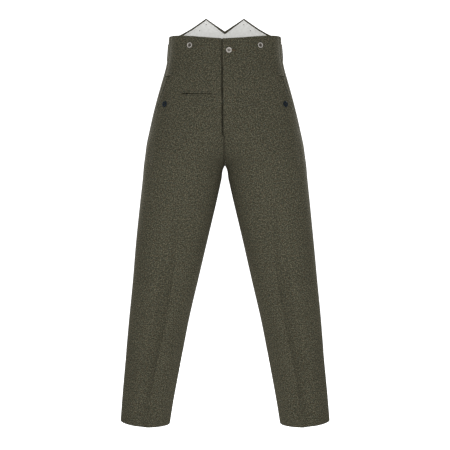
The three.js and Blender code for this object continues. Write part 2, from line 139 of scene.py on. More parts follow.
@dataclass(frozen=True)
class Cut:
    """Levels, edges and overlaps of the garment's cut, in metres."""

    fork: float = -350 * MM
    yoke: float = -60 * MM  # below it the rows of a panel are level
    cuff: float = -1030 * MM  # below it they settle into the slant of the hem
    front_rise: float = 19.5 * MM
    front_curve: float = 1.4
    waist_half: float = 163 * MM
    back_edge: tuple[tuple[float, float], ...] = (
        (0, 60), (57, 98), (101, 64.6), (127, 46.5), (141, 37.5), (150, 30), (163, 19.5),
    )
    hem_inside: tuple[float, float] = (159 * MM, -1098 * MM)
    hem_outside: tuple[float, float] = (304 * MM, -1088 * MM)
    hem_bow: float = 2.8 * MM  # how far it hangs lower under the creases
    press_inside: float = 22 * MM  # how far from the crease its ridge fades, to either side
    press_outside: float = 9 * MM
    back_ridge: float = 0.8
    fly_end: float = -274 * MM
    fly_edge: tuple[float, float] = (6.6 * MM, 3.6 * MM)  # how far the lap reaches, top and end
    fly_lift: float = 2.7 * MM
    fly_flat: float = 22 * MM
    fly_width: float = 46 * MM
    fly_settle: float = 28 * MM
    mouth_top: float = -98 * MM
    mouth_end: float = -250 * MM
    mouth_angle: float = math.radians(34)
    mouth_bend: float = 1.35


CUT = Cut()


def smoothstep(value: np.ndarray, low: float, high: float) -> np.ndarray:
    """Share of the way from low to high, eased at both ends."""
    share = np.clip((value - low) / (high - low), 0.0, 1.0)
    return share * share * (3.0 - 2.0 * share)


def lerp(start: np.ndarray, end: np.ndarray, share: np.ndarray) -> np.ndarray:
    """Value at a share of the way from start to end."""
    return start + (end - start) * share


def signed_power(value: np.ndarray, power: np.ndarray) -> np.ndarray:
    """Power of a number's size, with the number's own sign."""
    return np.sign(value) * np.abs(value) ** power


class BodyForm:
    """Smooth form through the cross-sections: angle 0 at the side, positive round the front."""

    def __init__(self, sections: Sequence[Section]) -> None:
        """Keeps the table's columns in metres and radians.

        Args:
            sections: Cross-sections from the top down.
        """
        units = {"round": 1.0, "seam": math.radians(1.0)}
        self.levels = np.array([row.z for row in sections]) * MM
        self.values = {
            column.name: np.array([getattr(row, column.name) for row in sections], float)
            * units.get(column.name, MM)
            for column in fields(Section)
        }

    def value(self, name: str, z: np.ndarray) -> np.ndarray:
        """Value of one column of the table at some heights.

        Args:
            name: The column.
            z: Heights in metres.

        Returns:
            The values, on a smooth curve through the table's rows.
        """
        z = np.asarray(z, float)
        last = len(self.levels) - 1
        below = np.searchsorted(-self.levels, -z, side="right") - 1
        i = np.clip(below, 0, last - 1)
        column = self.values[name]
        before = np.maximum(np.arange(last + 1) - 1, 0)
        after = np.minimum(np.arange(last + 1) + 1, last)
        slope = (column[after] - column[before]) / (self.levels[after] - self.levels[before])
        span = self.levels[i + 1] - self.levels[i]
        t = np.clip((z - self.levels[i]) / span, 0.0, 1.0)
        start = 2 * t**3 - 3 * t**2 + 1
        rise = (t**3 - 2 * t**2 + t) * span
        fall = (t**3 - t**2) * span
        return (
            start * column[i] + rise * slope[i] + (1 - start) * column[i + 1] + fall * slope[i + 1]
        )

    def oval(self, z: np.ndarray) -> tuple[np.ndarray, np.ndarray, np.ndarray]:
        """Centre, half width and exponent of the ovals at some heights."""
        side, middle = self.value("side", z), self.value("middle", z)
        return (side + middle) / 2, (side - middle) / 2, self.value("round", z)

    def angle_at(self, x: np.ndarray, z: np.ndarray) -> np.ndarray:
        """Angle of the oval over a place across the body."""
        centre, half, power = self.oval(z)
        share = np.clip((x - centre) / half, -1.0, 1.0)
        return np.arccos(signed_power(share, power / 2))

    def point(self, angle: np.ndarray, z: np.ndarray, fly: bool = False) -> np.ndarray:
        """Points of the form.

        Args:
            angle: Angles round the oval.
            z: Heights.
            fly: Whether the lap of the fly lifts the front.

        Returns:
            Points, with x, y and z on the last axis.
        """
        angle, z = np.broadcast_arrays(np.asarray(angle, float), np.asarray(z, float))
        centre, half, power = self.oval(z)
        x = centre + half * signed_power(np.cos(angle), 2 / power)
        across = signed_power(np.sin(angle), 2 / power)
        front = angle > 0
        press = np.where(front, self.value("front_press", z), self.value("back_press", z))
        ridge = np.maximum(0, self.value("ridge", z)) * np.where(front, 1.0, CUT.back_ridge)
        reach = np.where(x > press, CUT.press_outside, CUT.press_inside)
        ridge = ridge * np.exp(-np.abs(x - press) / reach)
        depth = np.where(front, self.value("front", z), self.value("back", z))
        y = self.value("lean", z) - across * (depth + ridge)
        if fly:
            y = y - self.fly_lift(x, z)
        return np.stack([x, y, z], axis=-1)

    @staticmethod
    def fly_lift(x: np.ndarray, z: np.ndarray) -> np.ndarray:
        """How far the left front stands out where it laps over the fly."""
        across = smoothstep(CUT.fly_width - np.abs(x), 0, CUT.fly_width - CUT.fly_flat)
        down = smoothstep(z - CUT.fly_end + CUT.fly_settle, 0, CUT.fly_settle)
        return CUT.fly_lift * across * down

    def normal(self, angle: np.ndarray, z: np.ndarray, fly: bool = False) -> np.ndarray:
        """Directions that the form faces at some points."""
        turn, step = 0.002, 0.5 * MM
        across = self.point(angle + turn, z, fly) - self.point(angle - turn, z, fly)
        along = self.point(angle, z + step, fly) - self.point(angle, z - step, fly)
        facing = np.cross(along, across)
        return facing / np.linalg.norm(facing, axis=-1, keepdims=True)

    def centre_angle(self, z: np.ndarray, face: Face) -> np.ndarray:
        """Angle of the centre seam above the fork and of the inside seam below it."""
        depth = self.value("front" if face is Face.FRONT else "back", z)
        inseam = math.pi - (SEAM / 2 / depth) ** (self.value("round", z) / 2)
        return np.minimum(inseam, self.angle_at(np.full_like(z, SEAM / 2), z))

    def press_angle(self, z: np.ndarray, face: Face) -> np.ndarray:
        """Angle of the pressed crease."""
        press = "front_press" if face is Face.FRONT else "back_press"
        return self.angle_at(self.value(press, z), z)

    def seam_angle(self, z: np.ndarray) -> np.ndarray:
        """Angle of the side seam, before the side line."""
        return self.value("seam", z)

    def gap_angle(self, angle: np.ndarray, z: np.ndarray) -> np.ndarray:
        """Half of the seam's gap, as an angle."""
        turn = 0.01
        run = np.linalg.norm(self.point(angle + turn, z) - self.point(angle, z), axis=-1)
        return turn * (SEAM / 2) / run

    def mouth_angle(self, z: np.ndarray) -> np.ndarray:
        """Angle of the pocket mouth, which slants down to the side seam."""
        t = np.clip((CUT.mouth_top - z) / (CUT.mouth_top - CUT.mouth_end), 0.0, 1.0)
        return lerp(self.seam_angle(z), CUT.mouth_angle, (1 - t) ** CUT.mouth_bend)


FORM = BodyForm(SECTIONS)


# ---- Folds --------------------------------------------------------------------------------


@dataclass(frozen=True)
class Fold:
    """A soft trough or ridge in the cloth, in millimetres.

    line gives its points as (place across, height) on the left half, seen from its own face;
    width is where it has faded to a third, and rise its height, negative for a trough.
    """

    face: Face
    line: tuple[tuple[float, float], ...]
    width: float
    rise: float


FRONT, BACK = Face.FRONT, Face.BACK

# What both legs share: drag at the fork, fullness over the thigh, the hollows beside the creases
# down the shin, and on the hidden side the hang below the seat and behind the knee.
SHARED_FOLDS = (
    Fold(FRONT, ((3, -352), (26, -322), (66, -276)), 9, -1.7),
    Fold(FRONT, ((6, -372), (44, -346), (100, -318)), 12, -1.5),
    Fold(FRONT, ((174, -312), (172, -340), (165, -372)), 30, 2.6),
    Fold(FRONT, ((204, -262), (214, -330), (222, -430)), 13, -1.6),
    Fold(FRONT, ((84, -430), (102, -560), (124, -700), (150, -840)), 26, -2.4),
    Fold(
        FRONT,
        ((138, -430), (153, -540), (169, -681), (188, -797), (212, -913), (233, -1029), (243, -1110)),
        15,
        -13,
    ),
    Fold(FRONT, ((236, -700), (252, -860), (266, -1010)), 17, -1.2),
    Fold(FRONT, ((130, -860), (148, -950), (166, -1030)), 15, -1.5),
    Fold(BACK, ((6, -352), (50, -372), (112, -382), (170, -372)), 15, -3.4),
    Fold(BACK, ((16, -392), (72, -420), (140, -424)), 17, -2.2),
    Fold(BACK, ((30, -372), (84, -394), (150, -396)), 13, 2.0),
    Fold(BACK, ((60, -500), (96, -620), (118, -700)), 24, -2.0),
    Fold(BACK, ((96, -662), (150, -676), (212, -664)), 14, -2.0),
    Fold(BACK, ((206, -560), (226, -680), (240, -800)), 20, -1.8),
    Fold(BACK, ((206, -780), (226, -900), (246, -1020)), 14, -2.0),
    Fold(BACK, ((150, -900), (168, -980), (186, -1060)), 14, -1.4),
    Fold(BACK, ((8, -180), (34, -130), (70, -96)), 16, -1.4),
    Fold(BACK, ((150, -40), (166, -100), (184, -190)), 18, -1.6),
)

# Where the two halves differ.
OWN_FOLDS = {
    Side.RIGHT: (
        Fold(FRONT, ((92, -610), (126, -640), (176, -648)), 15, -1.1),
        Fold(FRONT, ((108, -715), (150, -732), (196, -726)), 17, -1.0),
        Fold(FRONT, ((30, -250), (70, -232), (120, -236)), 16, -1.0),
        Fold(BACK, ((104, -705), (156, -724), (206, -716)), 13, 1.6),
        Fold(BACK, ((36, -448), (96, -470), (150, -462)), 14, -1.4),
    ),
    Side.LEFT: (
        Fold(FRONT, ((86, -590), (132, -628), (170, -622)), 16, -1.2),
        Fold(FRONT, ((116, -748), (160, -752), (204, -738)), 15, -0.9),
        Fold(FRONT, ((40, -262), (84, -250), (132, -262)), 17, -1.1),
        Fold(BACK, ((112, -716), (162, -730), (214, -712)), 12, 1.5),
        Fold(BACK, ((30, -462), (84, -486), (140, -490)), 15, -1.6),
    ),
}


def smooth_line(points: np.ndarray, parts: int = 5) -> np.ndarray:
    """A finer line through some points, rounded where they turn.

    Args:
        points: Points of the line, one a row.
        parts: How many stretches each gap is cut into.

    Returns:
        Points of the finer line.
    """
    padded = np.vstack([2 * points[0] - points[1], points, 2 * points[-1] - points[-2]])
    share = np.linspace(0, 1, parts, endpoint=False)[:, None]
    line = []
    for a, b, c, d in zip(padded, padded[1:], padded[2:], padded[3:]):
        line.append(
            b + 0.5 * share * (c - a + share * (2 * a - 5 * b + 4 * c - d + share * (3 * (b - c) + d - a)))
        )
    return np.vstack([*line, points[-1:]])


class ClothForm:
    """The body form of one half with its folds, dips and gapes, and its x on its own side."""

    DIP = 14 * MM  # how far the right front sinks beside the edge of the fly
    DIP_REACH = (5.2 * MM, 2.9 * MM)  # how far from that edge it starts to sink, and is down
    VALLEY = 5.0 * MM  # depth of the line that runs on from the fly to the fork
    GAPE = 2.6 * MM  # how far the mouth of the pocket stands open
    WAVE = 0.35 * MM  # unevenness of the hanging cloth

    def __init__(self, side: Side) -> None:
        """Lays the folds of one half over the form.

        Args:
            side: The half.
        """
        self.side = side
        self.folds = []
        for fold in (*SHARED_FOLDS, *OWN_FOLDS[side]):
            x, z = (smooth_line(np.array(fold.line) * MM)).T
            line = FORM.point(fold.face.value * FORM.angle_at(x, z), z)
            self.folds.append((fold, line))

    def relief(self, points: np.ndarray, angle: np.ndarray) -> np.ndarray:
        """Height of the folds over the form.

        Args:
            points: Points of the form on the left half.
            angle: Their angles round it.

        Returns:
            Heights outwards.
        """
        height = np.zeros(points.shape[:-1])
        for fold, line in self.folds:
            start, run = line[:-1], np.diff(line, axis=0)
            nearest = np.full(height.shape, np.inf)
            place = np.zeros(height.shape)
            for k in range(len(run)):
                t = np.clip((points - start[k]) @ run[k] / (run[k] @ run[k]), 0, 1)
                gap = np.linalg.norm(points - start[k] - t[..., None] * run[k], axis=-1)
                closer = gap < nearest
                nearest = np.where(closer, gap, nearest)
                place = np.where(closer, (k + t) / len(run), place)
            taper = np.sin(np.pi * np.clip(place, 0.02, 0.98)) ** 0.8
            height += fold.rise * MM * taper * np.exp(-((nearest / (fold.width * MM)) ** 2))
        return height + self.wave(points) + self.opening(points, angle)

    def wave(self, points: np.ndarray) -> np.ndarray:
        """Slight unevenness of hanging cloth, in slow uneven swells."""
        x, y, z = np.moveaxis(points, -1, 0)
        turn = 0.9 * self.side.value
        swell = np.sin(61 * x + 23 * z + turn) + np.sin(47 * y - 17 * z + 2 * turn)
        return self.WAVE * swell * smoothstep(-z, 0.0, 60 * MM) * 0.5

    def opening(self, points: np.ndarray, angle: np.ndarray) -> np.ndarray:
        """Gape of the pocket's mouth, and the right front's dip beside the fly."""
        x, _, z = np.moveaxis(points, -1, 0)
        width = np.abs(x - FORM.point(FORM.mouth_angle(z), z)[..., 0])
        high = 0.45 * smoothstep(z, CUT.mouth_end, CUT.mouth_end + 60 * MM)
        high = high * smoothstep(CUT.mouth_top - z, -10 * MM, 10 * MM)
        high = high + 0.55 * np.exp(-(((z - CUT.mouth_top + 16 * MM) / (26 * MM)) ** 2))
        inside = (angle > FORM.mouth_angle(z) - 0.02) & (angle > 0)
        height = np.where(inside, self.GAPE * high * np.exp(-((width / (9 * MM)) ** 2)), 0.0)
        if self.side is Side.RIGHT:
            down = smoothstep(z - CUT.fly_end, -6 * MM, 14 * MM)
            deep = 0.35 + 0.65 * smoothstep(-z, 10 * MM, 110 * MM)
            edge = lerp(CUT.fly_edge[0], CUT.fly_edge[1], np.clip(z / CUT.fly_end, 0, 1))
            across = smoothstep(edge - np.abs(x), -self.DIP_REACH[0], -self.DIP_REACH[1])
            height = height - np.where(angle > 0, self.DIP * down * deep * across, 0.0)
        below = smoothstep(CUT.fly_end - z, -12 * MM, 6 * MM) * smoothstep(z, CUT.fork - 6 * MM, CUT.fork)
        aside = -x * self.side.value - 2.6 * MM
        valley = self.VALLEY * below * np.exp(-((aside / (1.3 * MM)) ** 2))
        return height - np.where(angle > 0, valley, 0.0)

    def place(self, angle: np.ndarray, z: np.ndarray, lift: np.ndarray = 0.0,
              fly: bool | None = None) -> tuple[np.ndarray, np.ndarray]:
        """Points on the cloth or at a height over it; beside the centre seam they move straight.

        Args:
            angle: Angles round the form.
            z: Heights.
            lift: Distances outwards from the cloth's face.
            fly: Whether the lap of the fly lifts the front; by default on the left half.

        Returns:
            The points and the directions they face, on this half's own side.
        """
        angle, z = np.broadcast_arrays(np.asarray(angle, float), np.asarray(z, float))
        lifted = (self.side is Side.LEFT) if fly is None else fly
        points = FORM.point(angle, z, lifted)
        normals = FORM.normal(angle, z, lifted)
        height = self.relief(points, angle) + lift
        moved = points + normals * height[..., None]
        beside = np.exp(-((points[..., 0] / (6 * MM)) ** 2)) * smoothstep(z, CUT.fork - 15 * MM, CUT.fork)
        moved[..., 0] = lerp(moved[..., 0], points[..., 0], beside)
        mirror = np.array([self.side.value, 1, 1])
        return moved * mirror, normals * mirror

    def over(self, face: Face, x: np.ndarray, z: np.ndarray,
             lift: np.ndarray = 0.0) -> tuple[np.ndarray, np.ndarray]:
        """Points on the cloth over places across the body, given on the left half."""
        x, z = np.broadcast_arrays(np.asarray(x, float), np.asarray(z, float))
        return self.place(face.value * FORM.angle_at(x, z), z, lift)


CLOTH = {side: ClothForm(side) for side in Side}


# ---- Edges and layout of the panels ---------------------------------------------------------


def front_edge(x: np.ndarray) -> np.ndarray:
    """Height of the front's top edge over a place across the waist."""
    return CUT.front_rise * np.minimum(1, np.abs(x) / CUT.waist_half) ** CUT.front_curve


def back_edge(x: np.ndarray) -> np.ndarray:
    """Height of the back's top edge over a place across the waist."""
    places, heights = np.array(CUT.back_edge).T * MM
    return np.interp(np.abs(x), places, heights)


def lining_edge(x: np.ndarray) -> np.ndarray:
    """Top edge of the lining, inside the back's top edge by a border that is widest at the notch."""
    step = 1 * MM
    border = (4.6 + 3.2 * np.exp(-((x / (30 * MM)) ** 2))) * MM
    slope = (back_edge(x + step) - back_edge(np.maximum(0, x - step))) / (2 * step)
    return back_edge(x) - border * np.hypot(1, slope)


def hem_edge(x: np.ndarray) -> np.ndarray:
    """Height of a leg's lower edge over a place across the leg."""
    (x0, z0), (x1, z1) = CUT.hem_inside, CUT.hem_outside
    share = (x - x0) / (x1 - x0)
    return lerp(z0, z1, share) - CUT.hem_bow * 4 * share * (1 - share)


def eased(count: int, fine: float = 0.85) -> np.ndarray:
    """Shares from 0 to 1 that lie closer together at both ends.

    Args:
        count: How many stretches.
        fine: How much narrower the outer stretches are, from 0 to 1.

    Returns:
        The shares, with 0 and 1.
    """
    t = np.linspace(0, 1, count + 1)
    return t - fine * np.sin(2 * np.pi * t) / (2 * np.pi)


def levels(*stops: tuple[float, int]) -> np.ndarray:
    """Heights in metres between stops in millimetres, each with its count of rows from the last."""
    out = [np.array([stops[0][0]])]
    for (start, _), (end, count) in zip(stops, stops[1:]):
        out.append(np.linspace(start, end, count + 1)[1:])
    return np.concatenate(out) * MM


PANEL_LEVELS = levels(
    (-60, 0), (-98, 10), (-149, 13), (-161, 24), (-250, 24), (-274, 7), (-330, 15), (-346, 9),
    (-350, 4), (-356, 5), (-380, 8), (-1030, 160),
)


@dataclass(frozen=True)
class Rows:
    """Rows of a sheet: a band below its top edge, levels, and a band above the hem."""

    band: np.ndarray
    flat: np.ndarray
    cuff: np.ndarray = field(default_factory=lambda: np.zeros(0))

    def heights(self, angles: Callable[[np.ndarray], np.ndarray], columns: int,
                edge: Callable[[np.ndarray], np.ndarray]) -> np.ndarray:
        """Heights of all rows in all columns.

        Args:
            angles: Angle of every column at heights given with one row a column.
            columns: How many columns.
            edge: The top edge's height over a place across.

        Returns:
            Heights, one row a column of the sheet.
        """
        top = self.settle(angles, np.full((columns, 1), CUT.front_rise), edge)
        parts = [lerp(top, self.flat[0], self.band[None, :-1])] if len(self.band) else []
        parts.append(np.tile(self.flat, (columns, 1)))
        if len(self.cuff):
            hem = self.settle(angles, np.full((columns, 1), CUT.hem_outside[1]), hem_edge)
            parts.append(lerp(self.flat[-1], hem, self.cuff[None, 1:]))
        return np.hstack(parts)

    @staticmethod
    def settle(angles: Callable[[np.ndarray], np.ndarray], z: np.ndarray,
               edge: Callable[[np.ndarray], np.ndarray]) -> np.ndarray:
        """Height of an edge in each column, whose place across depends on that height."""
        for _ in range(8):
            angle = angles(z)
            z = np.where(angle < 0, edge(FORM.point(angle, z)[..., 0]),
                         (edge if edge is hem_edge else front_edge)(FORM.point(angle, z)[..., 0]))
        return z


class Layout:
    """Columns of the panels from the centre over the crease to the side."""

    INNER = eased(38)  # from the centre to the crease
    OUTER = eased(36)  # from the crease to the side or the pocket's mouth
    STRIP = eased(8, 0.6)  # over the mouth

    @classmethod
    def front(cls, z: np.ndarray) -> np.ndarray:
        """Angles of the front panel's columns, at heights with one row a column."""
        centre, press = FORM.centre_angle(z, FRONT), FORM.press_angle(z, FRONT)
        seam = FORM.seam_angle(z) + FORM.gap_angle(FORM.seam_angle(z), z)
        end = np.maximum(FORM.mouth_angle(z), seam)
        a, b = len(cls.INNER), len(cls.OUTER) - 1
        parts = [
            lerp(centre[:a], press[:a], cls.INNER[:, None]),
            lerp(press[a:a + b], end[a:a + b], cls.OUTER[1:, None]),
            lerp(end[a + b:], seam[a + b:], cls.STRIP[1:, None]),
        ]
        return np.vstack(parts)

    @classmethod
    def back(cls, z: np.ndarray) -> np.ndarray:
        """Angles of the back panel's columns."""
        centre, press = FORM.centre_angle(z, BACK), FORM.press_angle(z, BACK)
        end = -FORM.seam_angle(z) + FORM.gap_angle(FORM.seam_angle(z), z)
        a = len(cls.INNER)
        outer = cls.back_outer()
        return -np.vstack([
            lerp(centre[:a], press[:a], cls.INNER[:, None]),
            lerp(press[a:], end[a:], outer[1:, None]),
        ])

    @staticmethod
    def back_outer() -> np.ndarray:
        """Shares from the back crease round to the side seam."""
        return eased(46)

    @classmethod
    def front_count(cls) -> int:
        """How many columns of points a front panel has."""
        return len(cls.INNER) + len(cls.OUTER) + len(cls.STRIP) - 2

    @classmethod
    def back_count(cls) -> int:
        """How many columns of points a back panel has."""
        return len(cls.INNER) + len(cls.back_outer()) - 1


# ---- Meshes ---------------------------------------------------------------------------------


def border_roll(points: np.ndarray, sides: Sequence[str], depth: float = 0.9 * MM,
                reach: float = 2.2 * MM) -> np.ndarray:
    """How far the edges of a sheet roll in, as cloth does where it is turned at a seam.

    Args:
        points: The sheet's points by column and row.
        sides: The borders that roll: first, last, top or bottom.
        depth: How far the very edge sinks.
        reach: How far from the edge the roll begins.

    Returns:
        Depths, by column and row.
    """
    across = np.linalg.norm(np.diff(points, axis=0), axis=-1)
    along = np.linalg.norm(np.diff(points, axis=1), axis=-1)
    first = np.vstack([np.zeros((1, points.shape[1])), np.cumsum(across, axis=0)])
    top = np.hstack([np.zeros((points.shape[0], 1)), np.cumsum(along, axis=1)])
    far = {"first": first, "last": first[-1:] - first, "top": top, "bottom": top[:, -1:] - top}
    return depth * sum(np.exp(-((far[name] / reach) ** 2)) for name in sides)


def arc_lengths(points: np.ndarray) -> np.ndarray:
    """Cloth coordinates of a sheet: metres across from its widest row's start, and height."""
    across = np.linalg.norm(np.diff(points, axis=0), axis=-1)
    u = np.vstack([np.zeros((1, points.shape[1])), np.cumsum(across, axis=0)])
    u = u - u[len(u) // 2]
    along = np.linalg.norm(np.diff(points, axis=1), axis=-1)
    v = np.hstack([np.zeros((points.shape[0], 1)), -np.cumsum(along, axis=1)])
    middle = np.mean(v - points[..., 2], axis=1, keepdims=True)
    return np.stack([u, v - middle], axis=-1)


def new_object(name: str, bm: bmesh.types.BMesh, material: bpy.types.Material) -> bpy.types.Object:
    """Puts a finished bmesh in the scene as a smooth-shaded piece.

    Args:
        name: The piece's name.
        bm: Its mesh, which is freed.
        material: Its finish.

    Returns:
        The new object.
    """
    mesh = bpy.data.meshes.new(name)
    for face in bm.faces:
        face.smooth = True
    bm.to_mesh(mesh)
    bm.free()
    mesh.materials.append(material)
    obj = bpy.data.objects.new(name, mesh)
    bpy.context.scene.collection.objects.link(obj)
    return obj


def cloth_sheet(name: str, points: np.ndarray, normals: np.ndarray, thickness: float,
                material: bpy.types.Material, keep: np.ndarray | None = None) -> bpy.types.Object:
    """A sheet of cloth: a grid bent over its points, with its thickness inwards.

    Args:
        name: The piece's name.
        points: Points of its outer face by column and row.
        normals: The directions that they face.
        thickness: The cloth's thickness.
        material: Its finish.
        keep: Which cells the cut keeps, by column and row; all by default.

    Returns:
        The new object.
    """
    columns, rows = points.shape[0] - 1, points.shape[1] - 1
    cloth = arc_lengths(points)
    bm = bmesh.new()
    bmesh.ops.create_grid(bm, x_segments=columns, y_segments=rows, size=0.5)
    bm.verts.ensure_lookup_table()
    cells = {}
    for vert in bm.verts:
        cell = (round((vert.co.x + 0.5) * columns), round((0.5 - vert.co.y) * rows))
        cells[vert] = cell
    layer = bm.loops.layers.uv.new("cloth")
    for face in bm.faces:
        for loop in face.loops:
            loop[layer].uv = cloth[cells[loop.vert]]
    if keep is not None:
        gone = []
        for face in bm.faces:
            i = min(cells[v][0] for v in face.verts)
            j = min(cells[v][1] for v in face.verts)
            if not keep[i, j]:
                gone.append(face)
        bmesh.ops.delete(bm, geom=gone, context="FACES")
    for vert in bm.verts:
        vert.co = points[cells[vert]]
    bm.normal_update()
    middle = max(bm.faces, key=lambda face: face.calc_area())
    if middle.normal.dot(Vector(normals[cells[middle.verts[0]]])) < 0:
        bmesh.ops.reverse_faces(bm, faces=bm.faces[:])
    obj = new_object(name, bm, material)
    wall = obj.modifiers.new("Thickness", "SOLIDIFY")
    wall.thickness = thickness
    wall.offset = -1.0
    wall.use_quality_normals = True
    edge = obj.modifiers.new("Edge", "BEVEL")
    edge.width = thickness * 0.24
    edge.segments = 2
    edge.limit_method = "ANGLE"
    edge.angle_limit = math.radians(55)
    return obj


def dress(obj: bpy.types.Object, slot: Slot, *nodes: str) -> bpy.types.Object:
    """Fixes a piece to the frame and hides the solids that it stands for.

    Args:
        obj: The piece.
        slot: The record's slot that it takes its finish from; not used.
        nodes: The CAD nodes that it replaces.

    Returns:
        The piece.
    """
    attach(obj, BODY)
    if nodes:
        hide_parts(*nodes)
    LOG.info("built %s", obj.name)
    return obj


# ---- Materials ------------------------------------------------------------------------------


def linear(code: str) -> tuple[float, float, float, float]:
    """Linear colour of an sRGB hex value such as #4b493d."""
    channels = [int(code[i:i + 2], 16) / 255 for i in (1, 3, 5)]
    r, g, b = (c / 12.92 if c <= 0.04045 else ((c + 0.055) / 1.055) ** 2.4 for c in channels)
    return (r, g, b, 1.0)


def add_node(tree: bpy.types.NodeTree, kind: str, inputs: dict | None = None,
             **settings: object) -> bpy.types.Node:
    """Adds a node with its settings, its values and its links.

    Args:
        tree: The node tree.
        kind: The node's type.
        inputs: Value or socket for each input, by the input's name or number.
        settings: The node's own properties.

    Returns:
        The new node.
    """
    node = tree.nodes.new(kind)
    for name, value in settings.items():
        setattr(node, name, value)
    for name, value in (inputs or {}).items():
        if isinstance(value, bpy.types.NodeSocket):
            tree.links.new(value, node.inputs[name])
        else:
            node.inputs[name].default_value = value
    return node


def set_ramp(node: bpy.types.Node, stops: Sequence[tuple[float, str]]) -> bpy.types.Node:
    """Sets the colours of a colour ramp.

    Args:
        node: The ramp's node.
        stops: Place and colour of each stop.

    Returns:
        The node.
    """
    ramp = node.color_ramp
    while len(ramp.elements) < len(stops):
        ramp.elements.new(1.0)
    for element, (place, code) in zip(ramp.elements, stops):
        element.position = place
        element.color = linear(code)
    return node


def mix_colours(tree: bpy.types.NodeTree, factor: object, a: object,
                b: object) -> bpy.types.NodeSocket:
    """Colour between two colours.

    Args:
        tree: The node tree.
        factor: Share of the second colour, as a value or a socket.
        a: The first colour.
        b: The second colour.

    Returns:
        The socket of the mixed colour.
    """
    node = add_node(tree, "ShaderNodeMix", data_type="RGBA")
    sockets = {"Factor_Float": factor, "A_Color": a, "B_Color": b}
    for socket in node.inputs:
        value = sockets.get(socket.identifier)
        if isinstance(value, bpy.types.NodeSocket):
            tree.links.new(value, socket)
        elif value is not None:
            socket.default_value = value
    return next(s for s in node.outputs if s.identifier == "Result_Color")


def new_material(name: str) -> tuple[bpy.types.Material, bpy.types.NodeTree, bpy.types.Node]:
    """A new material with its tree and its surface shader."""
    material = bpy.data.materials.new(name)
    material.use_nodes = True
    tree = material.node_tree
    shader = next(n for n in tree.nodes if n.type == "BSDF_PRINCIPLED")
    return material, tree, shader


@dataclass(frozen=True)
class MelangeWool:
    """Milled woollen cloth from yarn spun of dyed fibres in olive, brown, grey-blue and cream.

    Milling closes the weave under a short nap, so the eye sees clusters of mixed fibres and no
    gloss. The clusters are 2 to 5 mm, and the twill below the nap is too fine to show.
    """

    name: str = "milled_melange_wool"
    shade: float = 0.745
    cluster: float = 3.8 * MM
    fleck: float = 2.4 * MM
    nap: float = 1.1 * MM
    twill: float = 1.9 * MM  # real ribs are half of this; drawn wider so that they show
    roughness: float = 0.96
    fuzz: str = "#d8c9a4"  # light caught by the nap where the cloth turns away

    def build(self) -> bpy.types.Material:
        """Makes the material."""
        material, tree, shader = new_material(self.name)
        coords = add_node(tree, "ShaderNodeUVMap", uv_map="cloth").outputs["UV"]

        def grain(size: float, detail: float, away: float) -> bpy.types.NodeSocket:
            """Noise of one grain size, each from its own place on the cloth."""
            moved = add_node(tree, "ShaderNodeMapping", {"Vector": coords, "Location": (away, away / 3, 0)})
            return add_node(
                tree, "ShaderNodeTexNoise",
                {"Vector": moved.outputs[0], "Scale": 1 / size, "Detail": detail, "Roughness": 0.6},
            ).outputs["Fac"]

        clusters = set_ramp(
            add_node(tree, "ShaderNodeValToRGB", {"Fac": grain(self.cluster, 2.0, 0.0)}),
            ((0.35, "#22221b"), (0.43, "#39382d"), (0.50, "#4a493c"), (0.57, "#605d4c"), (0.65, "#86816c")),
        )
        hues = set_ramp(
            add_node(tree, "ShaderNodeValToRGB", {"Fac": grain(self.cluster * 1.6, 2.0, 3.1)}),
            ((0.34, "#3e4638"), (0.45, "#494b3b"), (0.55, "#504b3b"), (0.66, "#5a4c39")),
        )
        cool = set_ramp(
            add_node(tree, "ShaderNodeValToRGB", {"Fac": grain(self.cluster * 1.2, 2.0, 6.7)}),
            ((0.56, "#000000"), (0.70, "#b0b0b0")),
        )
        light = set_ramp(
            add_node(tree, "ShaderNodeValToRGB", {"Fac": grain(self.fleck, 1.0, 9.2)}),
            ((0.55, "#000000"), (0.69, "#e0e0e0")),
        )
        dark = set_ramp(
            add_node(tree, "ShaderNodeValToRGB", {"Fac": grain(self.fleck * 1.1, 1.0, 12.4)}),
            ((0.55, "#000000"), (0.69, "#dcdcdc")),
        )
        colour = clusters.outputs["Color"]
        for factor, other in (
            (0.45, hues.outputs["Color"]),
            (cool.outputs["Color"], linear("#465055")),
            (light.outputs["Color"], linear("#9c9680")),
            (dark.outputs["Color"], linear("#1d1d17")),
        ):
            colour = mix_colours(tree, factor, colour, other)
        broad = add_node(
            tree, "ShaderNodeMapRange",
            {"Value": grain(95 * MM, 1.0, 15.8), "From Min": 0.3, "From Max": 0.7,
             "To Min": 0.955 * self.shade, "To Max": 1.045 * self.shade},
        )
        toned = add_node(
            tree, "ShaderNodeVectorMath", {0: colour, "Scale": broad.outputs["Result"]}, operation="SCALE"
        )
        tree.links.new(toned.outputs["Vector"], shader.inputs["Base Color"])
        slant = add_node(
            tree, "ShaderNodeTexWave",
            {"Vector": coords, "Scale": 1 / (self.twill * 20), "Distortion": 1.4, "Detail": 2.0,
             "Detail Scale": 40.0},
            wave_type="BANDS", bands_direction="DIAGONAL",
        )
        fibres = grain(self.nap, 3.0, 21.0)
        height = add_node(
            tree, "ShaderNodeMath", {0: slant.outputs["Fac"], 1: 0.25, 2: fibres}, operation="MULTIPLY_ADD"
        )
        bump = add_node(
            tree, "ShaderNodeBump",
            {"Height": height.outputs["Value"], "Strength": 0.55, "Distance": 0.45 * MM},
        )
        tree.links.new(bump.outputs["Normal"], shader.inputs["Normal"])
        shader.inputs["Roughness"].default_value = self.roughness
        shader.inputs["Specular IOR Level"].default_value = 0.1
        shader.inputs["Sheen Weight"].default_value = 0.035
        shader.inputs["Sheen Roughness"].default_value = 0.6
        shader.inputs["Sheen Tint"].default_value = linear(self.fuzz)
        return material


